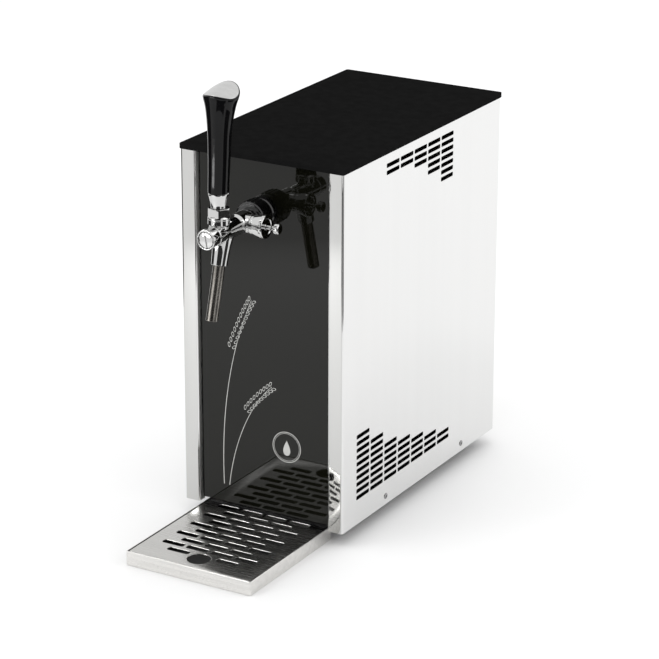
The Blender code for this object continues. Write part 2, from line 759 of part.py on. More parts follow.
def slot_outline(centre, length, height, corner):
    """Outline of a slot with cut corners."""
    half_length = length / 2
    half_height = height / 2
    u, v = centre
    return [
        (u - half_length + corner, v - half_height),
        (u + half_length - corner, v - half_height),
        (u + half_length, v - half_height + corner),
        (u + half_length, v + half_height - corner),
        (u + half_length - corner, v + half_height),
        (u - half_length + corner, v + half_height),
        (u - half_length, v + half_height - corner),
        (u - half_length, v - half_height + corner),
    ]


def vent_centres():
    """Centres (y, z) of the slots in a side panel: one field hangs from the top, one stands low."""
    centres = []
    for column, count in enumerate(UPPER_VENT_COUNTS):
        for row in range(count):
            place = (UPPER_VENT_Y + VENT_PITCH_Y * column, UPPER_VENT_TOP - VENT_PITCH_Z * row)
            centres.append(place)
    for column, count in enumerate(LOWER_VENT_COUNTS):
        for row in range(count):
            place = (LOWER_VENT_Y + VENT_PITCH_Y * column, LOWER_VENT_BOTTOM + VENT_PITCH_Z * row)
            centres.append(place)
    return centres


def make_side_panel(name, side, material):
    """A bent stainless side: return, front strip, side sheet and rear flange, with punched vents."""
    outer = SHELL_WIDTH / 2
    inner = outer - STRIP_WIDTH
    path = [(inner, STRIP_RETURN), (inner, 0), (outer, 0), (outer, SHELL_DEPTH)]
    path.append((outer - REAR_FLANGE, SHELL_DEPTH))
    outline = [(side * x, y) for x, y in folded_sheet(path, BEND_RADIUS, PANEL_SHEET)]
    panel = add_piece(name, prism(outline, "Z", 0, SHELL_HEIGHT), material)
    near = side * (outer - PANEL_SHEET - OVERRUN)
    far = side * (outer + OVERRUN)
    slots = []
    for y, z in vent_centres():
        low = (y - VENT_LENGTH / 2, z - VENT_HEIGHT / 2)
        high = (y + VENT_LENGTH / 2, z + VENT_HEIGHT / 2)
        slots.append(prism(rectangle(low, high), "X", near, far))
    cut(panel, merged(*slots))


def make_lid(material):
    """The black lid: a plate with round corners and a fine chamfer round its top."""
    half = SHELL_WIDTH / 2 + LID_OVERHANG
    low = (-half, -LID_OVERHANG)
    high = (half, SHELL_DEPTH + LID_OVERHANG)
    bottom = SHELL_HEIGHT + GAP
    bm = prism(rectangle(low, high, LID_CORNER, 4), "Z", bottom, bottom + LID_THICK)
    top = max(bm.faces, key=lambda face: face.calc_center_median().z)
    bmesh.ops.bevel(bm, geom=list(top.edges), offset=LID_BEVEL, segments=2, profile=0.5, affect="EDGES")
    add_piece("top_lid", bm, material)


def make_front(glass_finish, steel_finish):
    """The gloss glass between the strips and the folded plate that carries it."""
    half = GLASS_WIDTH / 2
    bm = box((-half, GLASS_RECESS, GLASS_BOTTOM), (half, GLASS_BACK, GLASS_TOP))
    soften(bm, GLASS_BEVEL)
    glass = add_piece("front_glass", bm, glass_finish)
    cut(glass, shank_cutter())
    foot = BASE_FRONT - GAP
    top = SHELL_HEIGHT - BACKING_TOP_DROP
    path = [(BACKING_FRONT, top), (BACKING_FRONT, GLASS_BOTTOM), (foot, GLASS_BOTTOM)]
    outline = folded_sheet(path, BEND_RADIUS, BACKING_SHEET)
    plate = add_piece("front_backing_plate", prism(outline, "X", -INNER_HALF, INNER_HALF), steel_finish)
    cut(plate, shank_cutter())


def shank_cutter():
    """A bar that cuts the shank's hole through the front."""
    radius = SHANK_RADIUS + SHANK_HOLE_CLEARANCE
    start = (0, GLASS_RECESS - OVERRUN, TAP_HEIGHT)
    end = (0, BACKING_BACK + OVERRUN, TAP_HEIGHT)
    return rod(radius, start, end)


def make_base(steel_finish, rubber_finish):
    """The folded base pan and its four feet."""
    low = (-INNER_HALF, BASE_FRONT, 0)
    high = (INNER_HALF, BASE_BACK, BASE_WALL_HEIGHT)
    add_piece("base_pan", open_box(low, high, BASE_SHEET, BASE_SHEET), steel_finish)
    reach = FOOT_RADIUS + FOOT_END_MARGIN
    rows = {"front": BASE_FRONT + reach, "rear": BASE_BACK - reach}
    side_x = INNER_HALF - FOOT_RADIUS - FOOT_SIDE_MARGIN
    for row, y in rows.items():
        for side, x in (("left", -side_x), ("right", side_x)):
            add_piece(f"foot_{row}_{side}", foot_shape(x, y), rubber_finish)


def foot_shape(x, y):
    """A rubber foot: a tapered puck with a screw recess below."""
    height = FOOT_HEIGHT - GAP
    low_radius = FOOT_RADIUS - FOOT_TAPER
    profile = [
        (0, FOOT_HOLLOW_DEPTH),
        (FOOT_HOLLOW_RADIUS, FOOT_HOLLOW_DEPTH),
        (FOOT_HOLLOW_RADIUS, 0),
        (low_radius - FOOT_EDGE, 0),
        (low_radius, FOOT_EDGE),
        (FOOT_RADIUS, height),
        (0, height),
    ]
    return turned(profile, ROUND_STEPS, (x, y, -FOOT_HEIGHT))


def make_rear_panel(material):
    """The rear sheet inside the flanges, with its grille and the holes for what it carries."""
    low = (-REAR_HALF, REAR_INSIDE, REAR_BOTTOM)
    high = (REAR_HALF, REAR_FACE, SHELL_HEIGHT - REAR_TOP_DROP)
    panel = add_piece("rear_panel", box(low, high), material)
    start = REAR_INSIDE - OVERRUN
    end = REAR_FACE + OVERRUN
    tools = []
    for column in range(REAR_VENT_COLUMNS):
        x = REAR_VENT_PITCH_X * (column - (REAR_VENT_COLUMNS - 1) / 2)
        for row in range(REAR_VENT_ROWS):
            z = REAR_VENT_BOTTOM + VENT_PITCH_Z * row
            slot_low = (x - REAR_VENT_LENGTH / 2, start, z - VENT_HEIGHT / 2)
            slot_high = (x + REAR_VENT_LENGTH / 2, end, z + VENT_HEIGHT / 2)
            tools.append(box(slot_low, slot_high))
    round_holes = (
        (INLET_X, INLET_HEIGHT, FITTING_TAIL_RADIUS),
        (AIR_X, AIR_HEIGHT, FITTING_TAIL_RADIUS),
        (GLAND_X, GLAND_HEIGHT, GLAND_BORE + GLAND_WALL),
        (THERMOSTAT_X, SWITCH_HEIGHT, THERMOSTAT_SHAFT_RADIUS),
    )
    for x, z, radius in round_holes:
        tools.append(rod(radius + GAP, (x, start, z), (x, end, z)))
    for x in (COOLING_SWITCH_X, AIR_X):
        hole_low = (x - SWITCH_WIDTH / 2 - GAP, start, SWITCH_HEIGHT - SWITCH_TALL / 2 - GAP)
        hole_high = (x + SWITCH_WIDTH / 2 + GAP, end, SWITCH_HEIGHT + SWITCH_TALL / 2 + GAP)
        tools.append(box(hole_low, hole_high))
    cut(panel, merged(*tools))


def make_shelf(material):
    """The shelf that parts the chambers: a sheet folded down at both sides, with a slot for pipes."""
    top = SHELF_HEIGHT
    drop = SHELF_HEIGHT - SHELF_FLANGE
    path = [(INNER_HALF, drop), (INNER_HALF, top), (-INNER_HALF, top), (-INNER_HALF, drop)]
    outline = folded_sheet(path, BEND_RADIUS, SHELF_SHEET)
    shelf = add_piece("mid_shelf", prism(outline, "Y", BACKING_BACK + GAP, BASE_BACK), material)
    half_width = SHELF_SLOT_WIDTH / 2
    half_length = SHELF_SLOT_LENGTH / 2
    for side in (-1, 1):
        x = side * SHELF_SLOT_X
        low = (x - half_width, SHELF_SLOT_Y - half_length, top - SHELF_SHEET - OVERRUN)
        high = (x + half_width, SHELF_SLOT_Y + half_length, top + OVERRUN)
        cut(shelf, box(low, high))


def make_drip_pan(material):
    """The drip pan on the floor, tucked under the cabinet's front edge; its origin is on its slide."""
    half = TRAY_WIDTH / 2
    low = (-half, -TRAY_REACH, TRAY_BOTTOM)
    high = (half, TRAY_TUCK, TRAY_TOP)
    pan = open_box(low, high, TRAY_WALL, TRAY_FLOOR, TRAY_CORNER)
    add_piece("drip_pan", pan, material, (0, 0, TRAY_BOTTOM))


def make_drip_grid(material):
    """The slotted plate inset in the pan, with a finger hole; it lifts about its back edge."""
    half = TRAY_WIDTH / 2 - TRAY_WALL - GRID_MARGIN
    low = (-half, -TRAY_REACH + TRAY_WALL + GRID_MARGIN, TRAY_BOTTOM + TRAY_FLOOR + GAP)
    high = (half, GRID_BACK, GRID_TOP)
    shell = open_box(low, high, GRID_SKIRT, GRID_SHEET, GRID_CORNER, opens_up=False)
    grid = add_piece("drip_grid", shell, material, (0, GRID_BACK, GRID_TOP))
    start = GRID_TOP - GRID_SHEET - OVERRUN
    end = GRID_TOP + OVERRUN
    tools = []
    for centre in grid_slot_centres():
        outline = slot_outline(centre, SLOT_LENGTH, SLOT_WIDTH, SLOT_CORNER)
        tools.append(prism(outline, "Z", start, end))
    finger_low = (0, FINGER_HOLE_Y, start)
    finger_high = (0, FINGER_HOLE_Y, end)
    tools.append(rod(FINGER_HOLE_RADIUS, finger_low, finger_high, FINE_STEPS))
    cut(grid, merged(*tools))


def grid_slot_centres():
    """Centres of the drain slots: rows of four and three by turns, the last one open in the middle."""
    centres = []
    for row in range(SLOT_ROWS):
        count = 4 if row % 2 == 0 else 3
        y = SLOT_FIRST_Y - SLOT_PITCH_Y * row
        for column in range(count):
            x = SLOT_PITCH_X * (column - (count - 1) / 2)
            if row < SLOT_ROWS - 1 or x:
                centres.append((x, y))
    return centres


def along_tap(y):
    """A point on the barrel's axis."""
    return Vector((0, y, TAP_HEIGHT))


def tap_turned(profile, steps=ROUND_STEPS):
    """Spin a profile of (radius, y) points round the barrel's axis."""
    return turned(profile, steps, TAP_AXIS, (0, 1, 0))


def make_tap_body(material):
    """The cast body: barrel, lever boss, spout neck and side boss, bored through."""
    outside = [
        (0, BARREL_FRONT),
        (BARREL_RADIUS - BARREL_EDGE, BARREL_FRONT),
        (BARREL_RADIUS, BARREL_FRONT + BARREL_EDGE),
        (BARREL_RADIUS, BARREL_BACK),
        (BLOCK_RADIUS, BLOCK_FRONT),
        (BLOCK_RADIUS, BLOCK_BACK),
        (NECK_RADIUS, NECK_FRONT),
        (NECK_RADIUS, NECK_BACK),
        (SEAT_FLANGE_RADIUS, NECK_BACK),
        (SEAT_FLANGE_RADIUS, SEAT_FLANGE_BACK),
        (0, SEAT_FLANGE_BACK),
    ]
    body = add_piece("tap_body", tap_turned(outside, FINE_STEPS), material)
    add(body, rod(BOSS_RADIUS, along_tap(LEVER_Y), (0, LEVER_Y, boss_blank_top())))
    neck = [(0, 0), (SPOUT_MOUTH_RADIUS, 0), (SPOUT_NECK_RADIUS, SPOUT_NECK_LENGTH), (0, SPOUT_NECK_LENGTH)]
    add(body, turned(neck, ROUND_STEPS, SPOUT_MOUTH, SPOUT_WAY))
    side_start = (0, COMPENSATOR_Y, TAP_HEIGHT)
    side_end = (SIDE_BOSS_END, COMPENSATOR_Y, TAP_HEIGHT)
    add(body, rod(SIDE_BOSS_RADIUS, side_start, side_end))
    for tool in tap_body_bores():
        cut(body, tool)


def tap_body_bores():
    """The spot face, bores and socket cut in the tap body."""
    face_radius = BONNET_RADIUS + GAP
    main_bore = [
        (0, BARREL_FRONT - OVERRUN),
        (CAP_BORE_RADIUS, BARREL_FRONT - OVERRUN),
        (CAP_BORE_RADIUS, CAP_BORE_BACK),
        (BARREL_BORE, CAP_BORE_BACK),
        (BARREL_BORE, VALVE_SEAT_FRONT),
        (VALVE_SEAT_BORE, VALVE_SEAT_FRONT),
        (VALVE_SEAT_BORE, VALVE_SEAT_BACK),
        (BARREL_BORE, VALVE_SEAT_BACK),
        (BARREL_BORE, CHAMBER_BACK),
        (REAR_BORE, CHAMBER_BACK),
        (REAR_BORE, SEAT_FLANGE_BACK + OVERRUN),
        (0, SEAT_FLANGE_BACK + OVERRUN),
    ]
    socket_depth = SPOUT_INSERT + GAP
    flow_length = SPOUT_NECK_LENGTH + OVERRUN
    spout_bore = [
        (0, -OVERRUN),
        (SPOUT_RADIUS + GAP, -OVERRUN),
        (SPOUT_RADIUS + GAP, socket_depth),
        (SPOUT_BORE, socket_depth),
        (SPOUT_BORE, flow_length),
        (0, flow_length),
    ]
    spindle_start = (0, COMPENSATOR_Y, TAP_HEIGHT)
    spindle_end = (SIDE_BOSS_END + OVERRUN, COMPENSATOR_Y, TAP_HEIGHT)
    return (
        tap_turned(main_bore, FINE_STEPS),
        turned(spout_bore, ROUND_STEPS, SPOUT_MOUTH, SPOUT_WAY),
        rod(COMPENSATOR_ROD_RADIUS + GAP, spindle_start, spindle_end, SMALL_STEPS),
        rod(TAIL_HOLE_RADIUS, along_tap(LEVER_Y), (0, LEVER_Y, boss_blank_top() + OVERRUN)),
        rod(face_radius, (0, LEVER_Y, BOSS_TOP), (0, LEVER_Y, boss_blank_top() + OVERRUN), FINE_STEPS),
    )


def boss_blank_top():
    """Height of the lever boss before its spot face is cut."""
    return TAP_HEIGHT + BARREL_RADIUS + OVERRUN / 2


def make_front_cap(material):
    """The slotted plug that closes the barrel's front."""
    front = BARREL_FRONT + CAP_RECESS
    plug = rod(CAP_RADIUS, along_tap(front), along_tap(CAP_BORE_BACK - GAP), FINE_STEPS, CAP_EDGE)
    cap = add_piece("tap_front_cap", plug, material)
    half = CAP_SLOT_WIDTH / 2
    reach = CAP_RADIUS + OVERRUN
    slot = box((-half, front - OVERRUN, -reach), (half, front + CAP_SLOT_DEPTH, reach))
    turn = Matrix.Translation(TAP_AXIS) @ Matrix.Rotation(-CAP_SLOT_TILT, 4, "Y")
    bmesh.ops.transform(slot, matrix=turn, verts=slot.verts)
    cut(cap, slot)


def make_spout_tube(material):
    """The pouring tube, pushed into the neck."""
    length = (SPOUT_MOUTH - SPOUT_END).length + SPOUT_INSERT
    profile = [
        (SPOUT_RADIUS - SPOUT_LIP, 0),
        (SPOUT_RADIUS, SPOUT_LIP),
        (SPOUT_RADIUS, length),
        (SPOUT_BORE, length),
        (SPOUT_BORE, SPOUT_LIP),
        (SPOUT_BORE + SPOUT_LIP, 0),
    ]
    add_piece("spout_tube", turned(profile, FINE_STEPS, SPOUT_END, SPOUT_WAY), material)


def make_plunger(metal, rubber):
    """The plunger with its guide disc and slotted yoke, and the seal that closes the valve seat."""
    profile = [
        (0, GUIDE_FRONT),
        (GUIDE_RADIUS, GUIDE_FRONT),
        (GUIDE_RADIUS, GUIDE_BACK),
        (PLUNGER_ROD_RADIUS, GUIDE_BACK),
        (PLUNGER_ROD_RADIUS, YOKE_FRONT),
        (YOKE_RADIUS, YOKE_FRONT),
        (YOKE_RADIUS, YOKE_BACK),
        (PLUNGER_ROD_RADIUS, YOKE_BACK),
        (PLUNGER_ROD_RADIUS, PLUNGER_ROD_BACK),
        (0, PLUNGER_ROD_BACK),
    ]
    origin = along_tap(LEVER_Y)
    plunger = add_piece("tap_plunger", tap_turned(profile), metal, origin)
    half = YOKE_SLOT_WIDTH / 2
    reach = YOKE_RADIUS + OVERRUN
    low = (-half, LEVER_Y - YOKE_SLOT_HALF, TAP_HEIGHT - reach)
    high = (half, LEVER_Y + YOKE_SLOT_HALF, TAP_HEIGHT + reach)
    cut(plunger, box(low, high))
    front = VALVE_SEAT_BACK + GAP
    ring = [
        (PLUNGER_ROD_RADIUS + GAP, front),
        (PLUNGER_ROD_RADIUS + GAP, front + SEAL_THICK),
        (SEAL_RADIUS, front + SEAL_THICK),
        (SEAL_RADIUS, front),
    ]
    add_piece("valve_seal", tap_turned(ring), rubber, origin)


def sphere_radius_at(radius, height):
    """Radius of a ball's section at a height from its centre."""
    return math.sqrt(radius * radius - height * height)


def make_lever(material):
    """The lever: a tail in the yoke, the ball it turns on and the stem that holds the handle."""
    lower = math.asin(TAIL_RADIUS / BALL_RADIUS)
    upper = math.pi - math.asin(STEM_RADIUS / BALL_RADIUS)
    ball_steps = SMALL_STEPS - 2
    tip = TAIL_LENGTH - TAIL_RADIUS / 2
    profile = [(0, -TAIL_LENGTH), (TAIL_RADIUS / 2, -TAIL_LENGTH), (TAIL_RADIUS, -tip)]
    for step in range(ball_steps + 1):
        angle = lower + (upper - lower) * step / ball_steps
        profile.append((BALL_RADIUS * math.sin(angle), -BALL_RADIUS * math.cos(angle)))
    stem_end = STEM_TOP - PIVOT_HEIGHT
    profile += [(STEM_RADIUS, stem_end), (0, stem_end)]
    add_piece("tap_lever", turned(profile, ROUND_STEPS, PIVOT), material, PIVOT)


def make_bonnet(material):
    """The round bonnet that traps the ball, domed about the lever's pivot."""
    foot = BOSS_TOP + GAP - PIVOT_HEIGHT
    edge = sphere_radius_at(BONNET_DOME, BONNET_RADIUS)
    mouth = sphere_radius_at(BONNET_DOME, BONNET_MOUTH)
    bore = BALL_RADIUS + GAP
    profile = [(bore, foot), (bore, BALL_RADIUS / 2), (BONNET_MOUTH, mouth)]
    steps = 4
    start = math.asin(BONNET_MOUTH / BONNET_DOME)
    end = math.asin(BONNET_RADIUS / BONNET_DOME)
    for step in range(1, steps):
        angle = start + (end - start) * step / steps
        profile.append((BONNET_DOME * math.sin(angle), BONNET_DOME * math.cos(angle)))
    profile += [(BONNET_RADIUS, edge), (BONNET_RADIUS, foot + BONNET_FOOT), (BONNET_FOOT_RADIUS, foot)]
    add_piece("tap_bonnet", turned(profile, FINE_STEPS, PIVOT), material)


def make_lever_collar(material):
    """The hexagonal collar under the handle, hollowed to sweep over the bonnet's dome."""
    corner = COLLAR_FLATS / 2 / math.cos(math.pi / 6)
    outline = [(x, y + LEVER_Y) for x, y in ring_points(corner, 6)]
    bm = prism(outline, "Z", COLLAR_BOTTOM, COLLAR_TOP)
    top = max(bm.faces, key=lambda face: face.calc_center_median().z)
    bmesh.ops.bevel(bm, geom=list(top.edges), offset=COLLAR_CHAMFER, segments=1, profile=0.5, affect="EDGES")
    collar = add_piece("lever_collar", bm, material, PIVOT)
    hollow = bmesh.new()
    radius = BONNET_DOME + COLLAR_CLEARANCE
    place = Matrix.Translation(PIVOT)
    bmesh.ops.create_uvsphere(
        hollow, u_segments=FINE_STEPS, v_segments=ROUND_STEPS, radius=radius, matrix=place
    )
    cut(collar, hollow)
    cut(collar, stem_cutter(COLLAR_TOP + OVERRUN))


def stem_cutter(top):
    """The hole for the lever's stem, from the pivot up to a height."""
    return rod(STEM_HOLE, PIVOT, (0, LEVER_Y, top), SMALL_STEPS)


def make_ferrule(material):
    """The flared ferrule between collar and handle."""
    waist = FERRULE_HEIGHT - FERRULE_BAND
    profile = [
        (STEM_HOLE, 0),
        (STEM_HOLE, FERRULE_HEIGHT),
        (FERRULE_TOP_RADIUS, FERRULE_HEIGHT),
        (FERRULE_TOP_RADIUS, waist),
        (FERRULE_FOOT_RADIUS + (FERRULE_TOP_RADIUS - FERRULE_FOOT_RADIUS) / 3, waist / 2),
        (FERRULE_FOOT_RADIUS, FERRULE_BAND),
        (FERRULE_FOOT_RADIUS, 0),
    ]
    add_piece("handle_ferrule", turned(profile, FINE_STEPS, (0, LEVER_Y, FERRULE_BOTTOM)), material, PIVOT)


def handle_ring(height_share, swell_share, lean_share, top_share, inward=0, scale_share=1, sink=0):
    """One oval section of the handle; near the top it takes up the sloped and crowned shape."""
    across = (HANDLE_RADIUS + HANDLE_SPREAD * swell_share - inward) * scale_share
    deep_share = 1 + (HANDLE_DEPTH_SHARE - 1) * swell_share
    deep = (HANDLE_RADIUS + HANDLE_SPREAD * swell_share) * deep_share * scale_share - inward * scale_share
    full = HANDLE_RADIUS + HANDLE_SPREAD
    middle = LEVER_Y + HANDLE_LEAN * lean_share
    points = []
    for cosine, sine in ring_points(1, HANDLE_POINTS):
        x = across * cosine
        y = deep * sine
        rise = HANDLE_TOP_SLOPE * y - HANDLE_TOP_CROWN * (x / full) ** 2
        z = HANDLE_BOTTOM + HANDLE_HEIGHT * height_share + rise * top_share - sink
        points.append((x, middle + y, z))
    return points


def make_handle(plastic, metal):
    """The handle that swells to a sloped oval top, and the bright plate let into it."""
    rings = [handle_ring(*shares) for shares in HANDLE_SHARES]
    recess = HANDLE_PLATE_THICK + 2 * GAP - HANDLE_PLATE_PROUD
    last = HANDLE_SHARES[-1]
    rings.append(handle_ring(*last, inward=HANDLE_PLATE_MARGIN))
    rings.append(handle_ring(*last, inward=HANDLE_PLATE_MARGIN, sink=recess))
    for share in HANDLE_TOP_SHARES:
        rings.append(handle_ring(*last, inward=HANDLE_PLATE_MARGIN, scale_share=share, sink=recess))
    handle = add_piece("tap_handle", loft(rings), plastic, PIVOT)
    cut(handle, stem_cutter(STEM_TOP + GAP))
    inward = HANDLE_PLATE_MARGIN + GAP
    floor = recess - 2 * GAP
    under = []
    for share in HANDLE_TOP_SHARES[::-1]:
        under.append(handle_ring(*last, inward=inward, scale_share=share, sink=floor))
    under.append(handle_ring(*last, inward=inward, sink=floor))
    over = [handle_ring(*last, inward=inward, sink=-HANDLE_PLATE_PROUD)]
    for share in HANDLE_TOP_SHARES:
        over.append(handle_ring(*last, inward=inward, scale_share=share, sink=-HANDLE_PLATE_PROUD))
    add_piece("handle_top_plate", loft(under + over), metal, PIVOT)


def flute(bm, count, depth, beyond, place, along):
    """Press evenly spaced flutes into the outer side of a turned mesh about its axis."""
    way = Vector(along).normalized()
    side = way.orthogonal().normalized()
    other = way.cross(side)
    for vert in bm.verts:
        arm = vert.co - Vector(place)
        arm -= way * arm.dot(way)
        if arm.length < beyond:
            continue
        angle = math.atan2(arm.dot(other), arm.dot(side))
        if math.cos(angle * count) < FLUTE_SHARE:
            vert.co -= arm.normalized() * depth


def make_coupling_nut(material):
    """The fluted nut that pulls the tap's flange to the shank."""
    profile = [
        (NECK_RADIUS + GAP, NUT_FRONT),
        (NECK_RADIUS + GAP, NUT_FRONT + NUT_LIP),
        (NUT_BORE, NUT_FRONT + NUT_LIP),
        (NUT_BORE, NUT_BACK),
        (NUT_RADIUS - NUT_CHAMFER, NUT_BACK),
        (NUT_RADIUS, NUT_BACK - NUT_CHAMFER),
        (NUT_RADIUS, NUT_FRONT + NUT_CHAMFER + NUT_LIP),
        (NUT_RADIUS, NUT_FRONT + NUT_CHAMFER),
        (NUT_RADIUS - NUT_CHAMFER, NUT_FRONT),
    ]
    bm = tap_turned(profile, 3 * NUT_RIBS)
    flute(bm, NUT_RIBS, NUT_RIB_DEPTH, NUT_RADIUS - NUT_CHAMFER / 2, TAP_AXIS, (0, 1, 0))
    add_piece("coupling_nut", bm, material)


def make_rosette(material):
    """The rosette between the nut and the glass."""
    back = GLASS_RECESS - GAP
    profile = [
        (SHANK_RADIUS + SHANK_HOLE_CLEARANCE, ROSETTE_FRONT),
        (SHANK_RADIUS + SHANK_HOLE_CLEARANCE, back),
        (ROSETTE_RADIUS, back),
        (ROSETTE_RADIUS, ROSETTE_FRONT + ROSETTE_EDGE),
        (ROSETTE_RADIUS - ROSETTE_EDGE / 3, ROSETTE_FRONT + ROSETTE_EDGE / 3),
        (ROSETTE_RADIUS - ROSETTE_EDGE, ROSETTE_FRONT),
    ]
    add_piece("tap_rosette", tap_turned(profile, FINE_STEPS), material)


def make_shank(metal, brass):
    """The bored shank through the front, with the nut that clamps it from behind."""
    profile = [
        (SHANK_BORE, SHANK_FRONT),
        (SHANK_BORE, SHANK_BACK),
        (SHANK_RADIUS, SHANK_BACK),
        (SHANK_RADIUS, SHANK_SHOULDER),
        (SHANK_HEAD_RADIUS, SHANK_SHOULDER),
        (SHANK_HEAD_RADIUS, SHANK_FRONT),
    ]
    add_piece("tap_shank", tap_turned(profile), metal)
    nut = hexagon(BACK_NUT_FLATS, 0, BACK_NUT_THICK)
    aim(nut, along_tap(BACKING_BACK + GAP), (0, 1, 0))
    back_nut = add_piece("shank_back_nut", nut, brass)
    start = along_tap(BACKING_BACK - OVERRUN)
    end = along_tap(BACKING_BACK + BACK_NUT_THICK + OVERRUN)
    cut(back_nut, rod(SHANK_RADIUS + GAP, start, end))


def make_compensator(metal):
    """The flow compensator on the side boss: flared cap, spindle and knob."""
    start = SIDE_BOSS_END + GAP
    place = (0, COMPENSATOR_Y, TAP_HEIGHT)
    hole = COMPENSATOR_ROD_RADIUS + GAP
    rim = COMPENSATOR_CAP_END - COMPENSATOR_CAP_RIM
    profile = [
        (hole, start),
        (COMPENSATOR_CAP_WAIST, start),
        (COMPENSATOR_CAP_WAIST, start + COMPENSATOR_CAP_RIM),
        (COMPENSATOR_CAP_RADIUS, rim),
        (COMPENSATOR_CAP_RADIUS, COMPENSATOR_CAP_END - KNOB_EDGE),
        (COMPENSATOR_CAP_RADIUS - KNOB_EDGE, COMPENSATOR_CAP_END),
        (hole, COMPENSATOR_CAP_END),
    ]
    add_piece("compensator_cap", turned(profile, FINE_STEPS, place, (1, 0, 0)), metal)
    outside = [
        (0, KNOB_END),
        (KNOB_RADIUS - KNOB_EDGE, KNOB_END),
        (KNOB_RADIUS, KNOB_END - KNOB_EDGE),
        (KNOB_RADIUS, KNOB_START + KNOB_EDGE),
        (KNOB_RADIUS - KNOB_EDGE, KNOB_START),
        (COMPENSATOR_ROD_RADIUS, KNOB_START),
        (COMPENSATOR_ROD_RADIUS, COMPENSATOR_ROD_START),
        (0, COMPENSATOR_ROD_START),
    ]
    knob = turned(outside, ROUND_STEPS, place, (1, 0, 0))
    add_piece("compensator_knob", knob, metal, place)


def make_fitting(name, x, z, metal, plastic):
    """A push-in fitting: a body through the rear panel with a hexagon, and a release collet in it."""
    place = (x, 0, z)
    inner = REAR_INSIDE - FITTING_TAIL
    outside = [
        (0, inner),
        (FITTING_TAIL_RADIUS, inner),
        (FITTING_TAIL_RADIUS, FITTING_FACE),
        (FITTING_RADIUS, FITTING_FACE),
        (FITTING_RADIUS, FITTING_END - COLLET_FLANGE),
        (FITTING_RADIUS - COLLET_FLANGE, FITTING_END),
        (0, FITTING_END),
    ]
    body = add_piece(name + "_fitting", turned(outside, ROUND_STEPS, place, (0, 1, 0)), metal)
    nut = hexagon(FITTING_FLATS, 0, FITTING_HEX)
    aim(nut, (x, FITTING_FACE, z), (0, 1, 0))
    add(body, nut)
    shoulder = FITTING_END - COLLET_LENGTH - COLLET_TRAVEL
    bore = [
        (0, inner - OVERRUN),
        (FITTING_STEM_BORE, inner - OVERRUN),
        (FITTING_STEM_BORE, shoulder),
        (FITTING_BORE + GAP, shoulder),
        (FITTING_BORE + GAP, FITTING_END + OVERRUN),
        (0, FITTING_END + OVERRUN),
    ]
    cut(body, turned(bore, ROUND_STEPS, place, (0, 1, 0)))
    collet = [
        (COLLET_BORE, COLLET_FACE - COLLET_LENGTH),
        (COLLET_RADIUS, COLLET_FACE - COLLET_LENGTH),
        (COLLET_RADIUS, COLLET_FACE),
        (COLLET_FLANGE_RADIUS, COLLET_FACE),
        (COLLET_FLANGE_RADIUS, COLLET_FACE + COLLET_FLANGE),
        (COLLET_BORE, COLLET_FACE + COLLET_FLANGE),
    ]
    origin = (x, COLLET_FACE, z)
    add_piece(name + "_collet", turned(collet, ROUND_STEPS, place, (0, 1, 0)), plastic, origin)


def make_gland(material):
    """The gland for the mains lead, clamped in the rear panel."""
    place = (GLAND_X, 0, GLAND_HEIGHT)
    tail_radius = GLAND_BORE + GLAND_WALL
    end = FITTING_FACE + GLAND_REACH
    profile = [
        (GLAND_BORE, REAR_INSIDE - GLAND_TAIL),
        (tail_radius, REAR_INSIDE - GLAND_TAIL),
        (tail_radius, FITTING_FACE),
        (GLAND_RADIUS, FITTING_FACE),
        (GLAND_RADIUS, end - GLAND_WALL),
        (GLAND_RADIUS - GLAND_WALL, end),
        (GLAND_BORE, end),
    ]
    bm = turned(profile, ROUND_STEPS, place, (0, 1, 0))
    add_piece("mains_cable_gland", bm, material)


def make_switch(name, x, body_finish, rocker_finish):
    """A rocker switch: a housing through the rear panel with a bezel, and the rocker in its pocket."""
    half_width = SWITCH_WIDTH / 2
    half_tall = SWITCH_TALL / 2
    face = FITTING_FACE + SWITCH_BEZEL_THICK
    low = (x - half_width, REAR_INSIDE - SWITCH_DEPTH, SWITCH_HEIGHT - half_tall)
    high = (x + half_width, face - SWITCH_BEZEL_THICK / 2, SWITCH_HEIGHT + half_tall)
    housing = add_piece(name + "_housing", box(low, high), body_finish)
    rim = SWITCH_BEZEL
    bezel_low = (low[0] - rim, FITTING_FACE, low[2] - rim)
    bezel_high = (high[0] + rim, face, high[2] + rim)
    add(housing, box(bezel_low, bezel_high))
    wall = SWITCH_WALL
    pocket_low = (low[0] + wall, face - SWITCH_POCKET, low[2] + wall)
    pocket_high = (high[0] - wall, face + OVERRUN, high[2] - wall)
    cut(housing, box(pocket_low, pocket_high))
    reach = half_tall - wall - ROCKER_END_CLEARANCE
    outline = [(-ROCKER_BACK, -reach), (ROCKER_TIP, -reach), (ROCKER_MIDDLE, 0), (ROCKER_TIP, reach)]
    outline.append((-ROCKER_BACK, reach))
    half = half_width - wall - ROCKER_CLEARANCE
    rocker = prism(outline, "X", -half, half)
    pivot = Vector((x, face - ROCKER_PIVOT_DEPTH, SWITCH_HEIGHT))
    turn = Matrix.Translation(pivot) @ Matrix.Rotation(ROCKER_TILT, 4, "X")
    bmesh.ops.transform(rocker, matrix=turn, verts=rocker.verts)
    add_piece(name + "_rocker", rocker, rocker_finish, pivot)


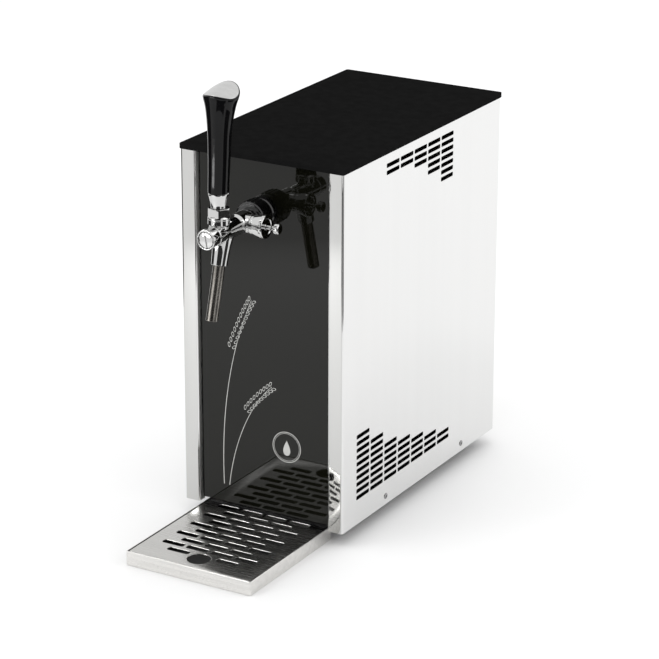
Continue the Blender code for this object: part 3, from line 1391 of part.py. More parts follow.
def make_thermostat(body_finish, knob_finish):
    """The thermostat inside the rear panel and its fluted knob, whose shaft passes through."""
    place = (THERMOSTAT_X, 0, SWITCH_HEIGHT)
    back = REAR_INSIDE - GAP
    front = back - THERMOSTAT_BODY_DEPTH
    hole = THERMOSTAT_SHAFT_RADIUS + GAP
    shaft_end = REAR_INSIDE - THERMOSTAT_SHAFT_DEPTH
    body = [
        (0, shaft_end - GAP),
        (hole, shaft_end - GAP),
        (hole, back),
        (THERMOSTAT_BODY_RADIUS, back),
        (THERMOSTAT_BODY_RADIUS, front),
        (0, front),
    ]
    add_piece("thermostat_body", turned(body, ROUND_STEPS, place, (0, 1, 0)), body_finish)
    end = FITTING_FACE + THERMOSTAT_KNOB_THICK
    edge = THERMOSTAT_KNOB_EDGE
    profile = [
        (0, shaft_end),
        (THERMOSTAT_SHAFT_RADIUS, shaft_end),
        (THERMOSTAT_SHAFT_RADIUS, FITTING_FACE),
        (THERMOSTAT_KNOB_RADIUS, FITTING_FACE),
        (THERMOSTAT_KNOB_RADIUS, end - edge),
        (THERMOSTAT_KNOB_RADIUS - edge, end),
        (0, end),
    ]
    bm = turned(profile, 3 * THERMOSTAT_KNOB_RIBS, place, (0, 1, 0))
    beyond = THERMOSTAT_KNOB_RADIUS - edge / 2
    flute(bm, THERMOSTAT_KNOB_RIBS, THERMOSTAT_KNOB_RIB_DEPTH, beyond, place, (0, 1, 0))
    knob = add_piece("thermostat_knob", bm, knob_finish, (THERMOSTAT_X, end, SWITCH_HEIGHT))
    half = THERMOSTAT_POINTER_WIDTH / 2
    low = (THERMOSTAT_X - half, end - THERMOSTAT_POINTER_DEPTH, SWITCH_HEIGHT)
    high = (THERMOSTAT_X + half, end + OVERRUN, SWITCH_HEIGHT + THERMOSTAT_KNOB_RADIUS + OVERRUN)
    cut(knob, box(low, high))


def make_compressor(material, relay_finish):
    """The compressor's welded shell on its foot plate, and the start relay box beside it."""
    half = FOOT_PLATE_SIDE / 2
    low = (-half, COMPRESSOR_Y - half)
    high = (half, COMPRESSOR_Y + half)
    plate = prism(rectangle(low, high, FOOT_PLATE_CORNER), "Z", BASE_FLOOR, COMPRESSOR_BOTTOM)
    shell = add_piece("compressor", plate, material)
    sink = FOOT_PLATE_THICK / 2
    profile = [(0, -sink), (COMPRESSOR_RADIUS * COMPRESSOR_SHARES[0][0], -sink)]
    for radius_share, height_share in COMPRESSOR_SHARES:
        profile.append((COMPRESSOR_RADIUS * radius_share, COMPRESSOR_HEIGHT * height_share))
    add(shell, turned(profile, FINE_STEPS, (0, COMPRESSOR_Y, COMPRESSOR_BOTTOM)))
    start = COMPRESSOR_RADIUS + GAP
    relay_low = (start, COMPRESSOR_Y - RELAY_DEPTH / 2, RELAY_HEIGHT)
    relay_high = (start + RELAY_WIDTH, COMPRESSOR_Y + RELAY_DEPTH / 2, RELAY_HEIGHT + RELAY_TALL)
    add_piece("start_relay_box", soften(box(relay_low, relay_high), RELAY_EDGE), relay_finish)


def make_condenser(material):
    """The finned condenser behind the front plate: a comb of fins on a thin spine."""
    half = CONDENSER_WIDTH / 2
    pitch = (CONDENSER_WIDTH - CONDENSER_FIN_SHEET) / (CONDENSER_FINS - 1)
    root = CONDENSER_FRONT + CONDENSER_SPINE
    outline = [(-half, CONDENSER_FRONT), (half, CONDENSER_FRONT)]
    for fin in range(CONDENSER_FINS):
        right = half - pitch * fin
        left = right - CONDENSER_FIN_SHEET
        if fin:
            outline.append((right, root))
        outline += [(right, CONDENSER_BACK), (left, CONDENSER_BACK)]
        if fin < CONDENSER_FINS - 1:
            outline.append((left, root))
    add_piece("condenser", prism(outline, "Z", BASE_FLOOR, CONDENSER_TOP), material)


def make_fan(shroud_finish, motor_finish, blade_finish):
    """The fan: a square shroud with struts and a hub, the motor on the hub and the bladed wheel."""
    half = SHROUD_SIDE / 2
    front = CONDENSER_BACK + GAP
    centre = Vector((0, 0, FAN_HEIGHT))
    block = box((-half, front, BASE_FLOOR), (half, SHROUD_BACK, BASE_FLOOR + SHROUD_SIDE))
    shroud = add_piece("fan_shroud", block, shroud_finish)
    cut(shroud, fan_rod(SHROUD_HOLE_RADIUS, front - OVERRUN, SHROUD_BACK + OVERRUN, 2 * ROUND_STEPS))
    reach = SHROUD_HOLE_RADIUS + OVERRUN
    strut = SHROUD_STRUT_WIDTH / 2
    plate = SHROUD_BACK - SHROUD_STRUT_THICK
    for across, tall in ((reach, strut), (strut, reach)):
        low = (-across, plate, FAN_HEIGHT - tall)
        high = (across, SHROUD_BACK, FAN_HEIGHT + tall)
        add(shroud, box(low, high))
    add(shroud, fan_rod(SHROUD_HUB_RADIUS, plate, SHROUD_BACK, FINE_STEPS))
    shaft_end = MOTOR_FRONT - FAN_SHAFT_REACH
    motor = [
        (0, shaft_end),
        (FAN_SHAFT_RADIUS, shaft_end),
        (FAN_SHAFT_RADIUS, MOTOR_FRONT),
        (FAN_MOTOR_RADIUS, MOTOR_FRONT),
        (FAN_MOTOR_RADIUS, MOTOR_BACK),
        (0, MOTOR_BACK),
    ]
    add_piece("fan_motor", turned(motor, ROUND_STEPS, centre, (0, 1, 0)), motor_finish)
    bore = FAN_SHAFT_RADIUS + GAP
    hub = [
        (0, shaft_end - GAP),
        (bore, shaft_end - GAP),
        (bore, FAN_BACK),
        (FAN_HUB_RADIUS, FAN_BACK),
        (FAN_HUB_RADIUS, FAN_FRONT + FAN_HUB_EDGE),
        (FAN_HUB_RADIUS - FAN_HUB_EDGE, FAN_FRONT),
        (0, FAN_FRONT),
    ]
    origin = Vector((0, (FAN_FRONT + FAN_BACK) / 2, FAN_HEIGHT))
    wheel = add_piece("fan_wheel", turned(hub, FINE_STEPS, centre, (0, 1, 0)), blade_finish, origin)
    blades = [fan_blade(origin, math.tau * index / FAN_BLADES) for index in range(FAN_BLADES)]
    add(wheel, merged(*blades))


def fan_rod(radius, start, end, steps):
    """A round bar on the fan's axis."""
    return rod(radius, (0, start, FAN_HEIGHT), (0, end, FAN_HEIGHT), steps)


def fan_blade(centre, angle):
    """One pitched blade of the fan, turned to its place round the hub."""
    root = FAN_HUB_RADIUS - FAN_ROOT
    half_chord = FAN_BLADE_CHORD / 2
    half_sheet = FAN_BLADE_SHEET / 2
    bm = box((-half_chord, -half_sheet, root), (half_chord, half_sheet, FAN_TIP_RADIUS))
    pitch = Matrix.Rotation(FAN_BLADE_PITCH, 4, "Z")
    place = Matrix.Translation(centre) @ Matrix.Rotation(angle, 4, "Y")
    bmesh.ops.transform(bm, matrix=place @ pitch, verts=bm.verts)
    return bm


def make_drier(material):
    """The filter drier: a copper capsule with a neck at each end."""
    shoulder = DRIER_NECK + DRIER_RADIUS - DRIER_NECK_RADIUS
    profile = [
        (0, 0),
        (DRIER_NECK_RADIUS, 0),
        (DRIER_NECK_RADIUS, DRIER_NECK),
        (DRIER_RADIUS, shoulder),
        (DRIER_RADIUS, DRIER_LENGTH - shoulder),
        (DRIER_NECK_RADIUS, DRIER_LENGTH - DRIER_NECK),
        (DRIER_NECK_RADIUS, DRIER_LENGTH),
        (0, DRIER_LENGTH),
    ]
    add_piece("filter_drier", turned(profile, ROUND_STEPS, (DRIER_X, DRIER_Y, DRIER_BOTTOM)), material)


def make_cooler(metal, foam):
    """The cooling block in its insulation jacket, and the jacket's lid with a hole for each line."""
    half = JACKET_WIDTH / 2
    low = (-half, JACKET_FRONT, JACKET_BOTTOM)
    high = (half, JACKET_BACK, JACKET_TOP)
    add_piece("insulation_jacket", open_box(low, high, JACKET_WALL, JACKET_WALL), foam)
    seat = JACKET_WALL + GAP
    block_low = (low[0] + seat, low[1] + seat, COOLER_BOTTOM)
    block_high = (high[0] - seat, high[1] - seat, COOLER_TOP)
    add_piece("cooling_block", soften(box(block_low, block_high), COOLER_EDGE), metal)
    lid_low = (low[0], low[1], JACKET_TOP + GAP)
    lid_high = (high[0], high[1], JACKET_TOP + GAP + JACKET_LID)
    lid = add_piece("insulation_lid", box(lid_low, lid_high), foam)
    holes = (
        (0, BEER_OUT_Y, BEER_LINE_RADIUS),
        (INLET_X, BEER_IN_Y, BEER_LINE_RADIUS),
        (-COLD_PORT_X, COLD_PORT_Y, HOT_LINE_RADIUS),
        (COLD_PORT_X, COLD_PORT_Y, COLD_LINE_RADIUS),
    )
    tools = []
    for x, y, radius in holes:
        start = (x, y, lid_low[2] - OVERRUN)
        end = (x, y, lid_high[2] + OVERRUN)
        tools.append(rod(radius + LINE_HOLE_CLEARANCE, start, end, SMALL_STEPS))
    cut(lid, merged(*tools))


def make_air_pump(material):
    """The air pump on the shelf, with its outlet port on top."""
    low = (PUMP_X - PUMP_WIDTH / 2, PUMP_FRONT, JACKET_BOTTOM)
    high = (PUMP_X + PUMP_WIDTH / 2, PUMP_BACK, PUMP_TOP)
    pump = add_piece("air_pump", soften(box(low, high), PUMP_EDGE, 1, 2), material)
    y = (PUMP_FRONT + PUMP_BACK) / 2
    port_low = (AIR_X, y, PUMP_TOP - OVERRUN)
    port_high = (AIR_X, y, PUMP_TOP + PUMP_PORT_REACH)
    add(pump, rod(PUMP_PORT_RADIUS, port_low, port_high, SMALL_STEPS))


def make_lines(plastic, copper):
    """The beer, air and refrigerant lines, each from the piece it leaves to the piece it feeds."""
    rear = REAR_INSIDE - FITTING_TAIL - GAP
    block = COOLER_TOP + GAP
    beer_in = (
        (INLET_X, rear, INLET_HEIGHT),
        (INLET_X, BEER_BACK_Y, INLET_HEIGHT),
        (INLET_X, BEER_BACK_Y, UPPER_RUN),
        (INLET_X, BEER_IN_Y, UPPER_RUN),
        (INLET_X, BEER_IN_Y, block),
    )
    add_line("beer_supply_line", beer_in, BEER_LINE_RADIUS, plastic)
    beer_out = (
        (0, SHANK_BACK - BEER_LINE_INSERT, TAP_HEIGHT),
        (0, BEER_OUT_Y, TAP_HEIGHT),
        (0, BEER_OUT_Y, block),
    )
    add_line("beer_outlet_line", beer_out, BEER_LINE_RADIUS, plastic)
    pump_y = (PUMP_FRONT + PUMP_BACK) / 2
    air = (
        (AIR_X, pump_y, PUMP_TOP + PUMP_PORT_REACH + GAP),
        (AIR_X, pump_y, AIR_HEIGHT),
        (AIR_X, rear, AIR_HEIGHT),
    )
    add_line("air_line", air, AIR_LINE_RADIUS, plastic)
    lower_run = CONDENSER_TOP + LINE_RISE
    shell_top = COMPRESSOR_TOP + GAP
    core_top = CONDENSER_TOP + GAP
    core_y = CONDENSER_FRONT + CONDENSER_SPINE / 2
    discharge = (
        (-COMPRESSOR_PORT, COMPRESSOR_Y, shell_top),
        (-COMPRESSOR_PORT, COMPRESSOR_Y, lower_run),
        (CONDENSER_PORT_X, DISCHARGE_TURN_Y, lower_run),
        (CONDENSER_PORT_X, core_y, lower_run),
        (CONDENSER_PORT_X, core_y, core_top),
    )
    add_line("discharge_line", discharge, HOT_LINE_RADIUS, copper)
    liquid = (
        (DRIER_X, core_y, core_top),
        (DRIER_X, core_y, lower_run),
        (DRIER_X, DRIER_Y, lower_run),
        (DRIER_X, DRIER_Y, DRIER_TOP + GAP),
    )
    add_line("liquid_line", liquid, HOT_LINE_RADIUS, copper)
    capillary = (
        (DRIER_X, DRIER_Y, DRIER_BOTTOM - GAP),
        (DRIER_X, DRIER_Y, CAPILLARY_LOW),
        (-SHELF_SLOT_X, SHELF_SLOT_Y, CAPILLARY_LOW),
        (-SHELF_SLOT_X, SHELF_SLOT_Y, UPPER_RUN),
        (-COLD_PORT_X, COLD_PORT_Y, UPPER_RUN),
        (-COLD_PORT_X, COLD_PORT_Y, block),
    )
    add_line("capillary_line", capillary, HOT_LINE_RADIUS, copper)
    suction = (
        (COLD_PORT_X, COLD_PORT_Y, block),
        (COLD_PORT_X, COLD_PORT_Y, UPPER_RUN),
        (SHELF_SLOT_X, SHELF_SLOT_Y, UPPER_RUN),
        (SHELF_SLOT_X, SHELF_SLOT_Y, lower_run),
        (COMPRESSOR_PORT, COMPRESSOR_Y, lower_run),
        (COMPRESSOR_PORT, COMPRESSOR_Y, shell_top),
    )
    add_line("suction_line", suction, COLD_LINE_RADIUS, copper)


def main():
    """Build the whole dispenser."""
    clear_scene()
    add_empty("cabinet_frame", (0, FRAME_Y, FOOT_HEIGHT))
    steel = finish("polished_stainless", (0.80, 0.80, 0.79), 0.16, 1.0)
    brushed = finish("brushed_stainless", (0.70, 0.70, 0.69), 0.28, 1.0)
    zinc = finish("zinc_plated_steel", (0.55, 0.56, 0.58), 0.38, 1.0)
    chrome = finish("chrome", (0.86, 0.86, 0.87), 0.06, 1.0)
    black_glass = finish("black_glass", (0.008, 0.008, 0.008), 0.04)
    satin_black = finish("satin_black", (0.014, 0.014, 0.014), 0.42)
    gloss_black = finish("gloss_black_plastic", (0.006, 0.006, 0.006), 0.10)
    rubber = finish("black_rubber", (0.02, 0.02, 0.02), 0.75)
    brass = finish("brass", (0.72, 0.52, 0.22), 0.30, 1.0)
    copper = finish("copper", (0.78, 0.38, 0.24), 0.30, 1.0)
    foam = finish("insulation_foam", (0.04, 0.04, 0.045), 0.85)
    hose = finish("clear_hose", (0.70, 0.72, 0.74), 0.35)
    red = finish("red_plastic", (0.45, 0.02, 0.02), 0.30)
    green = finish("green_plastic", (0.02, 0.30, 0.06), 0.30)
    aluminium = finish("aluminium", (0.75, 0.76, 0.78), 0.40, 1.0)
    make_side_panel("left_side_panel", -1, steel)
    make_side_panel("right_side_panel", 1, steel)
    make_lid(satin_black)
    make_front(black_glass, zinc)
    make_base(zinc, rubber)
    make_rear_panel(brushed)
    make_shelf(zinc)
    make_drip_pan(brushed)
    make_drip_grid(steel)
    make_tap_body(chrome)
    make_front_cap(chrome)
    make_spout_tube(brushed)
    make_plunger(brass, rubber)
    make_lever(brass)
    make_bonnet(chrome)
    make_lever_collar(chrome)
    make_ferrule(chrome)
    make_handle(gloss_black, brushed)
    make_coupling_nut(gloss_black)
    make_rosette(gloss_black)
    make_shank(chrome, brass)
    make_compensator(chrome)
    make_fitting("beer_inlet", INLET_X, INLET_HEIGHT, chrome, satin_black)
    make_fitting("air_outlet", AIR_X, AIR_HEIGHT, chrome, satin_black)
    make_gland(satin_black)
    make_switch("cooling_switch", COOLING_SWITCH_X, satin_black, red)
    make_switch("air_switch", AIR_X, satin_black, green)
    make_thermostat(satin_black, gloss_black)
    make_compressor(satin_black, satin_black)
    make_condenser(aluminium)
    make_fan(satin_black, satin_black, satin_black)
    make_drier(copper)
    make_cooler(aluminium, foam)
    make_air_pump(satin_black)
    make_lines(hose, copper)


main()
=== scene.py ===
"""Looks of a counter-top draft beer dispenser: finishes, fine pieces, studio and camera.

Sizes are millimetres in the cabinet frame: X to the right, Y from the front strips to the rear,
Z up from the bottom of the shell. FRONT_Y and FOOT_HEIGHT say where its zero lies in the frame,
and the function place turns a point into the frame's metres. A field that an Args section leaves
out is what its name says.
"""
import logging
import math
from collections.abc import Callable, Iterable, Sequence
from dataclasses import dataclass, replace
from enum import Enum

import bmesh
import bpy
from mathutils import Matrix, Vector


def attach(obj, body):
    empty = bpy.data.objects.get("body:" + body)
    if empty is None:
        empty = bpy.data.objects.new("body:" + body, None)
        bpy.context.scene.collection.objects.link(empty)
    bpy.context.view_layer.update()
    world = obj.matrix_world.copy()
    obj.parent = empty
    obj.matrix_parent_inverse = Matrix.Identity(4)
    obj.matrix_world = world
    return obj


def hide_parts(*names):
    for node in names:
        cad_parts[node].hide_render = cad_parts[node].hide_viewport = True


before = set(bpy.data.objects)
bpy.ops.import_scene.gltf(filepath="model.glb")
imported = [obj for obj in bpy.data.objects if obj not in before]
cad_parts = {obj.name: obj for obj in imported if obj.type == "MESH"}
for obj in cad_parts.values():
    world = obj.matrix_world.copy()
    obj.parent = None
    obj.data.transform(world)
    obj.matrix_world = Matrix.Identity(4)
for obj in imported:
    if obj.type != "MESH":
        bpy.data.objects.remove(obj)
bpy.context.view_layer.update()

LOG = logging.getLogger("dispenser")

MM = 0.001
FRONT_Y = -0.09865
FOOT_HEIGHT = 0.0145
TO_FRAME = Matrix.Translation((0, FRONT_Y, FOOT_HEIGHT)) @ Matrix.Scale(MM, 4)
MERGE_DISTANCE = 0.0005
SMOOTH_ANGLE = math.radians(32)
BEVEL_SMOOTH_ANGLE = math.radians(40)
TINY = 1e-6

ALONG_X = (1, 0, 0)
ALONG_Y = (0, 1, 0)
UPWARDS = (0, 0, 1)

Spot = tuple[float, float]
Point = tuple[float, float, float]
Outline = Sequence[Spot]
Mesh = bmesh.types.BMesh
Thing = bpy.types.Object
NodeTree = bpy.types.NodeTree
Socket = bpy.types.NodeSocket


class Body(Enum):
    """The bodies that pieces ride on."""

    CABINET = "cabinet"
    TRAY = "drip_tray"
    GRID = "tray_grid"
    LEVER = "lever"
    COMPENSATOR = "compensator"


class Grain(Enum):
    """Which way a brushed finish runs: the scale of its pattern along X, Y and Z."""

    ALONG_X = (0.02, 1.0, 1.0)
    ALONG_Z = (1.0, 1.0, 0.02)
    EVEN = (1.0, 1.0, 1.0)


class Axis(Enum):
    """The axis of a prism: which of across, up and along its X, Y and Z are."""

    X = (2, 0, 1)
    Y = (0, 2, 1)
    Z = (0, 1, 2)


class Join(Enum):
    """How one piece is combined with another."""

    ADD = "UNION"
    CUT = "DIFFERENCE"
    LIMIT = "INTERSECT"


def place(x: float, y: float, z: float) -> Vector:
    """A point of the cabinet frame, given in millimetres, in the frame's metres."""
    return Vector((x * MM, y * MM + FRONT_Y, z * MM + FOOT_HEIGHT))


# Nodes


def feed(tree: NodeTree, node: bpy.types.Node, inputs: dict[str, object]) -> None:
    """Set a node's inputs or link sockets to them.

    Args:
        tree: the tree that the node is in.
        node: the node.
        inputs: a value, a socket or a list of sockets for each named input.
    """
    for name, value in inputs.items():
        socket = next(s for s in node.inputs if s.name == name and s.enabled)
        if isinstance(value, Socket):
            tree.links.new(value, socket)
        elif isinstance(value, list):
            for part in value:
                tree.links.new(part, socket)
        else:
            socket.default_value = value


def add_node(
    tree: NodeTree, kind: str, out: str, inputs: dict[str, object] | None = None, **settings: object
) -> Socket:
    """Add a node and feed its inputs.

    Args:
        tree: the tree that it goes in.
        kind: its type.
        out: the name of the output that is wanted.
        inputs: a value, a socket or a list of sockets for each named input.
        settings: the node's own settings.

    Returns:
        The wanted output.
    """
    node = tree.nodes.new(kind)
    for name, value in settings.items():
        setattr(node, name, value)
    feed(tree, node, inputs or {})
    return node.outputs[out]


# Finishes


@dataclass(frozen=True)
class Finish:
    """A surface finish, made as a node material.

    Args:
        name: the material's name.
        colour: base colour, linear.
        slot: the record's material slot that it belongs to; not used.
        roughness: mean roughness.
        spread: how far the roughness wanders either way.
        tone: how far the colour wanders, as a share.
        scale: cells a metre of the pattern's noise.
        bump: height of the pattern in millimetres.
        metallic: 1 for bare metal.
        specular: specular level.
        grain: the way that the pattern runs.
    """

    name: str
    colour: Point
    slot: str
    roughness: float
    spread: float
    tone: float
    scale: float
    bump: float
    metallic: float = 0.0
    specular: float = 0.5
    grain: Grain = Grain.EVEN

    FINE_OCTAVES = 5.0
    BROAD_OCTAVES = 2.0
    BROAD_CELL = 12
    ROUGHNESS_SPAN = (0.3, 0.7)
    TONE_SPAN = (0.35, 0.65)
    LEAST_ROUGHNESS = 0.01

    def material(self) -> bpy.types.Material:
        """Build the node material once and return it afterwards.

        Returns:
            The material of this finish.
        """
        title = "look_" + self.name
        known = bpy.data.materials.get(title)
        if known:
            return known
        material = bpy.data.materials.new(title)
        material.use_nodes = True
        tree = material.node_tree
        fine = self.noise(tree, self.scale, self.FINE_OCTAVES)
        broad = self.noise(tree, self.scale / self.BROAD_CELL, self.BROAD_OCTAVES)
        relief = {"Height": fine, "Strength": 1.0, "Distance": self.bump * MM}
        feed(tree, tree.nodes["Principled BSDF"], {
            "Metallic": self.metallic,
            "Specular IOR Level": self.specular,
            "Roughness": self.vary(tree, fine),
            "Base Color": self.tint(tree, broad),
            "Normal": add_node(tree, "ShaderNodeBump", "Normal", relief),
        })
        return material

    def noise(self, tree: NodeTree, scale: float, detail: float) -> Socket:
        """A noise that is drawn out along the grain.

        Args:
            tree: the material's node tree.
            scale: cells a metre across the grain.
            detail: octaves.

        Returns:
            The noise's value socket.
        """
        spot = add_node(tree, "ShaderNodeTexCoord", "Object")
        drawn = add_node(tree, "ShaderNodeMapping", "Vector", {"Vector": spot, "Scale": self.grain.value})
        return add_node(
            tree, "ShaderNodeTexNoise", "Fac", {"Vector": drawn, "Scale": scale, "Detail": detail}
        )

    def vary(self, tree: NodeTree, source: Socket) -> Socket:
        """Let a noise move the roughness either side of its mean."""
        return add_node(tree, "ShaderNodeMapRange", "Result", {
            "Value": source,
            "From Min": self.ROUGHNESS_SPAN[0],
            "From Max": self.ROUGHNESS_SPAN[1],
            "To Min": max(self.roughness - self.spread, self.LEAST_ROUGHNESS),
            "To Max": self.roughness + self.spread,
        })

    def tint(self, tree: NodeTree, source: Socket) -> Socket:
        """Let a broad noise shade the base colour a little.

        Args:
            tree: the material's node tree.
            source: the noise.

        Returns:
            The colour's socket.
        """
        shaded = add_node(tree, "ShaderNodeValToRGB", "Color", {"Fac": source})
        low, high = shaded.node.color_ramp.elements
        low.position, high.position = self.TONE_SPAN
        low.color = (*(part * (1 - self.tone) for part in self.colour), 1)
        high.color = (*(min(part * (1 + self.tone), 1) for part in self.colour), 1)
        return shaded


POLISHED_STEEL = Finish(
    "polished_stainless", (0.76, 0.76, 0.755), "polished_stainless", roughness=0.05, spread=0.012,
    tone=0.006, scale=900, bump=0.0008, metallic=1, grain=Grain.ALONG_Z,
)
# Painted shade: a darker copy of the polished steel for the front faces of the strips, so that they read
# darker than the sides.
SHADED_STRIP_STEEL = replace(POLISHED_STEEL, name="strip_stainless_painted_shade", colour=(0.58, 0.58, 0.57))
SATIN_RETURN = replace(
    POLISHED_STEEL, name="satin_return", colour=(0.78, 0.78, 0.76), roughness=0.55, spread=0.05,
    tone=0.01, bump=0.002,
)
PLATE_STEEL = replace(
    POLISHED_STEEL, name="polished_plate", colour=(0.50, 0.495, 0.48), roughness=0.24, spread=0.06,
    tone=0.02, scale=1400, bump=0.001, grain=Grain.ALONG_X,
)
BRUSHED_STEEL = Finish(
    "brushed_stainless", (0.73, 0.72, 0.70), "brushed_stainless", roughness=0.27, spread=0.09,
    tone=0.05, scale=2600, bump=0.004, metallic=1, grain=Grain.ALONG_X,
)
# Painted shade: a near-black copy of the brushed steel for the faces inside the pan, standing in for the
# shade in it.
PAN_INSIDE_SHADE = replace(
    BRUSHED_STEEL, name="pan_inside_painted_shade", colour=(0.045, 0.045, 0.043), roughness=0.45, spread=0.1,
    tone=0.1, scale=900, bump=0.003, metallic=0.6,
)
BRUSHED_DISC = replace(
    BRUSHED_STEEL, name="brushed_top_plate", colour=(0.55, 0.55, 0.545), roughness=0.34, spread=0.08,
    tone=0.03, scale=3000, bump=0.003,
)
# Painted shade and painted reflection: the pouring tube's brushed steel is darkened and given strong
# lengthwise streaks of tone that stand in for the darker, banded reflections on it.
SHADED_SPOUT_STEEL = replace(
    BRUSHED_DISC, name="brushed_spout_painted_shade", colour=(0.22, 0.207, 0.19), roughness=0.26, spread=0.06,
    tone=0.3, grain=Grain.ALONG_Z,
)
# The rear steel takes its own colour and tone, so the spout's painted shade does not carry over.
REAR_STEEL = replace(
    SHADED_SPOUT_STEEL, name="rear_stainless", colour=(0.62, 0.62, 0.605), roughness=0.3, spread=0.04,
    tone=0.015, scale=2400,
)
CHROME = Finish(
    "chrome", (0.58, 0.58, 0.575), "chrome", roughness=0.045, spread=0.02, tone=0.01, scale=500,
    bump=0.0006, metallic=1,
)
SCREW_STEEL = replace(
    CHROME, name="screw_steel", colour=(0.30, 0.30, 0.30), roughness=0.22, spread=0.06, tone=0.06,
    scale=700, bump=0.002,
)
ZINC = Finish(
    "zinc_plate", (0.55, 0.57, 0.60), "zinc_sheet", roughness=0.38, spread=0.1, tone=0.14, scale=260,
    bump=0.006, metallic=1,
)
# Painted shade: a near-black copy of the zinc for the backing plate behind the tray and for the base pan,
# standing in for the shade there.
SHADED_ZINC = replace(
    ZINC, name="zinc_plate_painted_shade", colour=(0.035, 0.035, 0.036), roughness=0.5, metallic=0.6
)
BLACK_GLASS = Finish(
    "gloss_black_glass", (0.0040, 0.0040, 0.0024), "black_glass", roughness=0.03, spread=0.01,
    tone=0.2, scale=60, bump=0.0006, specular=0.30,
)
WHITE_PRINT = Finish(
    "light_grey_print", (0.52, 0.52, 0.50), "black_glass", roughness=0.5, spread=0.05, tone=0.08,
    scale=900, bump=0.002,
)
LID_PAINT = Finish(
    "satin_black_lid", (0.0085, 0.0085, 0.0085), "black_lid", roughness=0.55, spread=0.05, tone=0.1,
    scale=1500, bump=0.006, specular=0.0,
)
GLOSS_BLACK = Finish(
    "gloss_black_plastic", (0.0025, 0.0025, 0.0028), "gloss_black", roughness=0.07, spread=0.03,
    tone=0.2, scale=300, bump=0.002, specular=0.22,
)
NUT_BLACK = replace(
    GLOSS_BLACK, name="nut_black_plastic", colour=(0.0028, 0.0028, 0.003), roughness=0.13, scale=500,
    bump=0.003, specular=0.75,
)
MATTE_BLACK = Finish(
    "matte_black_plastic", (0.018, 0.018, 0.019), "matte_black", roughness=0.5, spread=0.08,
    tone=0.15, scale=1600, bump=0.02,
)
RUBBER = Finish(
    "black_rubber", (0.014, 0.014, 0.014), "rubber", roughness=0.75, spread=0.1, tone=0.2,
    scale=1200, bump=0.03, specular=0.3,
)
BRASS = Finish(
    "turned_brass", (0.72, 0.50, 0.20), "brass", roughness=0.26, spread=0.08, tone=0.08, scale=900,
    bump=0.004, metallic=1,
)
SHELL_PAINT = Finish(
    "compressor_black", (0.012, 0.012, 0.013), "compressor_paint", roughness=0.3, spread=0.08,
    tone=0.2, scale=500, bump=0.01,
)
MILL_ALUMINIUM = Finish(
    "mill_aluminium", (0.75, 0.76, 0.78), "aluminium", roughness=0.38, spread=0.1, tone=0.06,
    scale=900, bump=0.008, metallic=1, grain=Grain.ALONG_X,
)
DRAWN_COPPER = Finish(
    "drawn_copper", (0.78, 0.39, 0.24), "copper", roughness=0.28, spread=0.1, tone=0.15, scale=300,
    bump=0.003, metallic=1,
)
FOAM = Finish(
    "closed_cell_foam", (0.03, 0.03, 0.033), "foam", roughness=0.85, spread=0.08, tone=0.25,
    scale=1800, bump=0.08,
)
MILKY_HOSE = Finish(
    "milky_hose", (0.68, 0.71, 0.74), "hose", roughness=0.35, spread=0.06, tone=0.05, scale=400,
    bump=0.004,
)
RED_ROCKER = Finish(
    "red_rocker_plastic", (0.42, 0.012, 0.012), "red_rocker", roughness=0.2, spread=0.05, tone=0.1,
    scale=600, bump=0.004,
)
GREEN_ROCKER = replace(
    RED_ROCKER, name="green_rocker_plastic", colour=(0.012, 0.26, 0.04), slot="green_rocker"
)


# Mesh making, in millimetres of the cabinet frame


def put(name: str, data: bpy.types.ID) -> Thing:
    """Make an object of some data and link it to the scene.

    Args:
        name: its name.
        data: its mesh, light or camera.

    Returns:
        The object.
    """
    thing = bpy.data.objects.new(name, data)
    bpy.context.scene.collection.objects.link(thing)
    return thing


def shade(mesh: bpy.types.Mesh, smooth: float) -> None:
    """Shade a mesh smooth, apart from its sharp edges.

    Args:
        mesh: the mesh.
        smooth: edges sharper than this angle stay sharp.
    """
    mesh.polygons.foreach_set("use_smooth", [True] * len(mesh.polygons))
    mesh.set_sharp_from_angle(angle=smooth)
    mesh.update()


def new_piece(name: str, bm: Mesh, finish: Finish) -> Thing:
    """Turn a mesh in millimetres into an object in the frame's metres.

    Args:
        name: the object's name.
        bm: the mesh, which is used up.
        finish: its finish.

    Returns:
        The object, at the origin.
    """
    bmesh.ops.remove_doubles(bm, verts=bm.verts, dist=MERGE_DISTANCE)
    bmesh.ops.recalc_face_normals(bm, faces=bm.faces)
    bmesh.ops.transform(bm, matrix=TO_FRAME, verts=bm.verts)
    mesh = bpy.data.meshes.new(name)
    bm.to_mesh(mesh)
    bm.free()
    mesh.materials.append(finish.material())
    shade(mesh, SMOOTH_ANGLE)
    return put(name, mesh)


def settle(thing: Thing, smooth: float = SMOOTH_ANGLE) -> Thing:
    """Turn the evaluated object into its plain mesh and remove its modifiers.

    Args:
        thing: the object with its modifiers.
        smooth: edges sharper than this angle stay sharp.

    Returns:
        The same object with a plain mesh.
    """
    graph = bpy.context.evaluated_depsgraph_get()
    mesh = bpy.data.meshes.new_from_object(thing.evaluated_get(graph))
    old = thing.data
    thing.modifiers.clear()
    thing.data = mesh
    if not mesh.materials:
        mesh.materials.append(old.materials[0])
    bpy.data.meshes.remove(old)
    shade(mesh, smooth)
    return thing


def combine(thing: Thing, join: Join, *others: Thing) -> Thing:
    """Join, cut or limit a piece with others, which are used up.

    Args:
        thing: the piece that stays.
        join: how they are combined.
        others: the other pieces.

    Returns:
        The piece, as a plain mesh.
    """
    for other in others:
        modifier = thing.modifiers.new("Join", "BOOLEAN")
        modifier.operation = join.value
        modifier.solver = "EXACT"
        modifier.object = other
        settle(thing)
        bpy.data.objects.remove(other, do_unlink=True)
    return thing


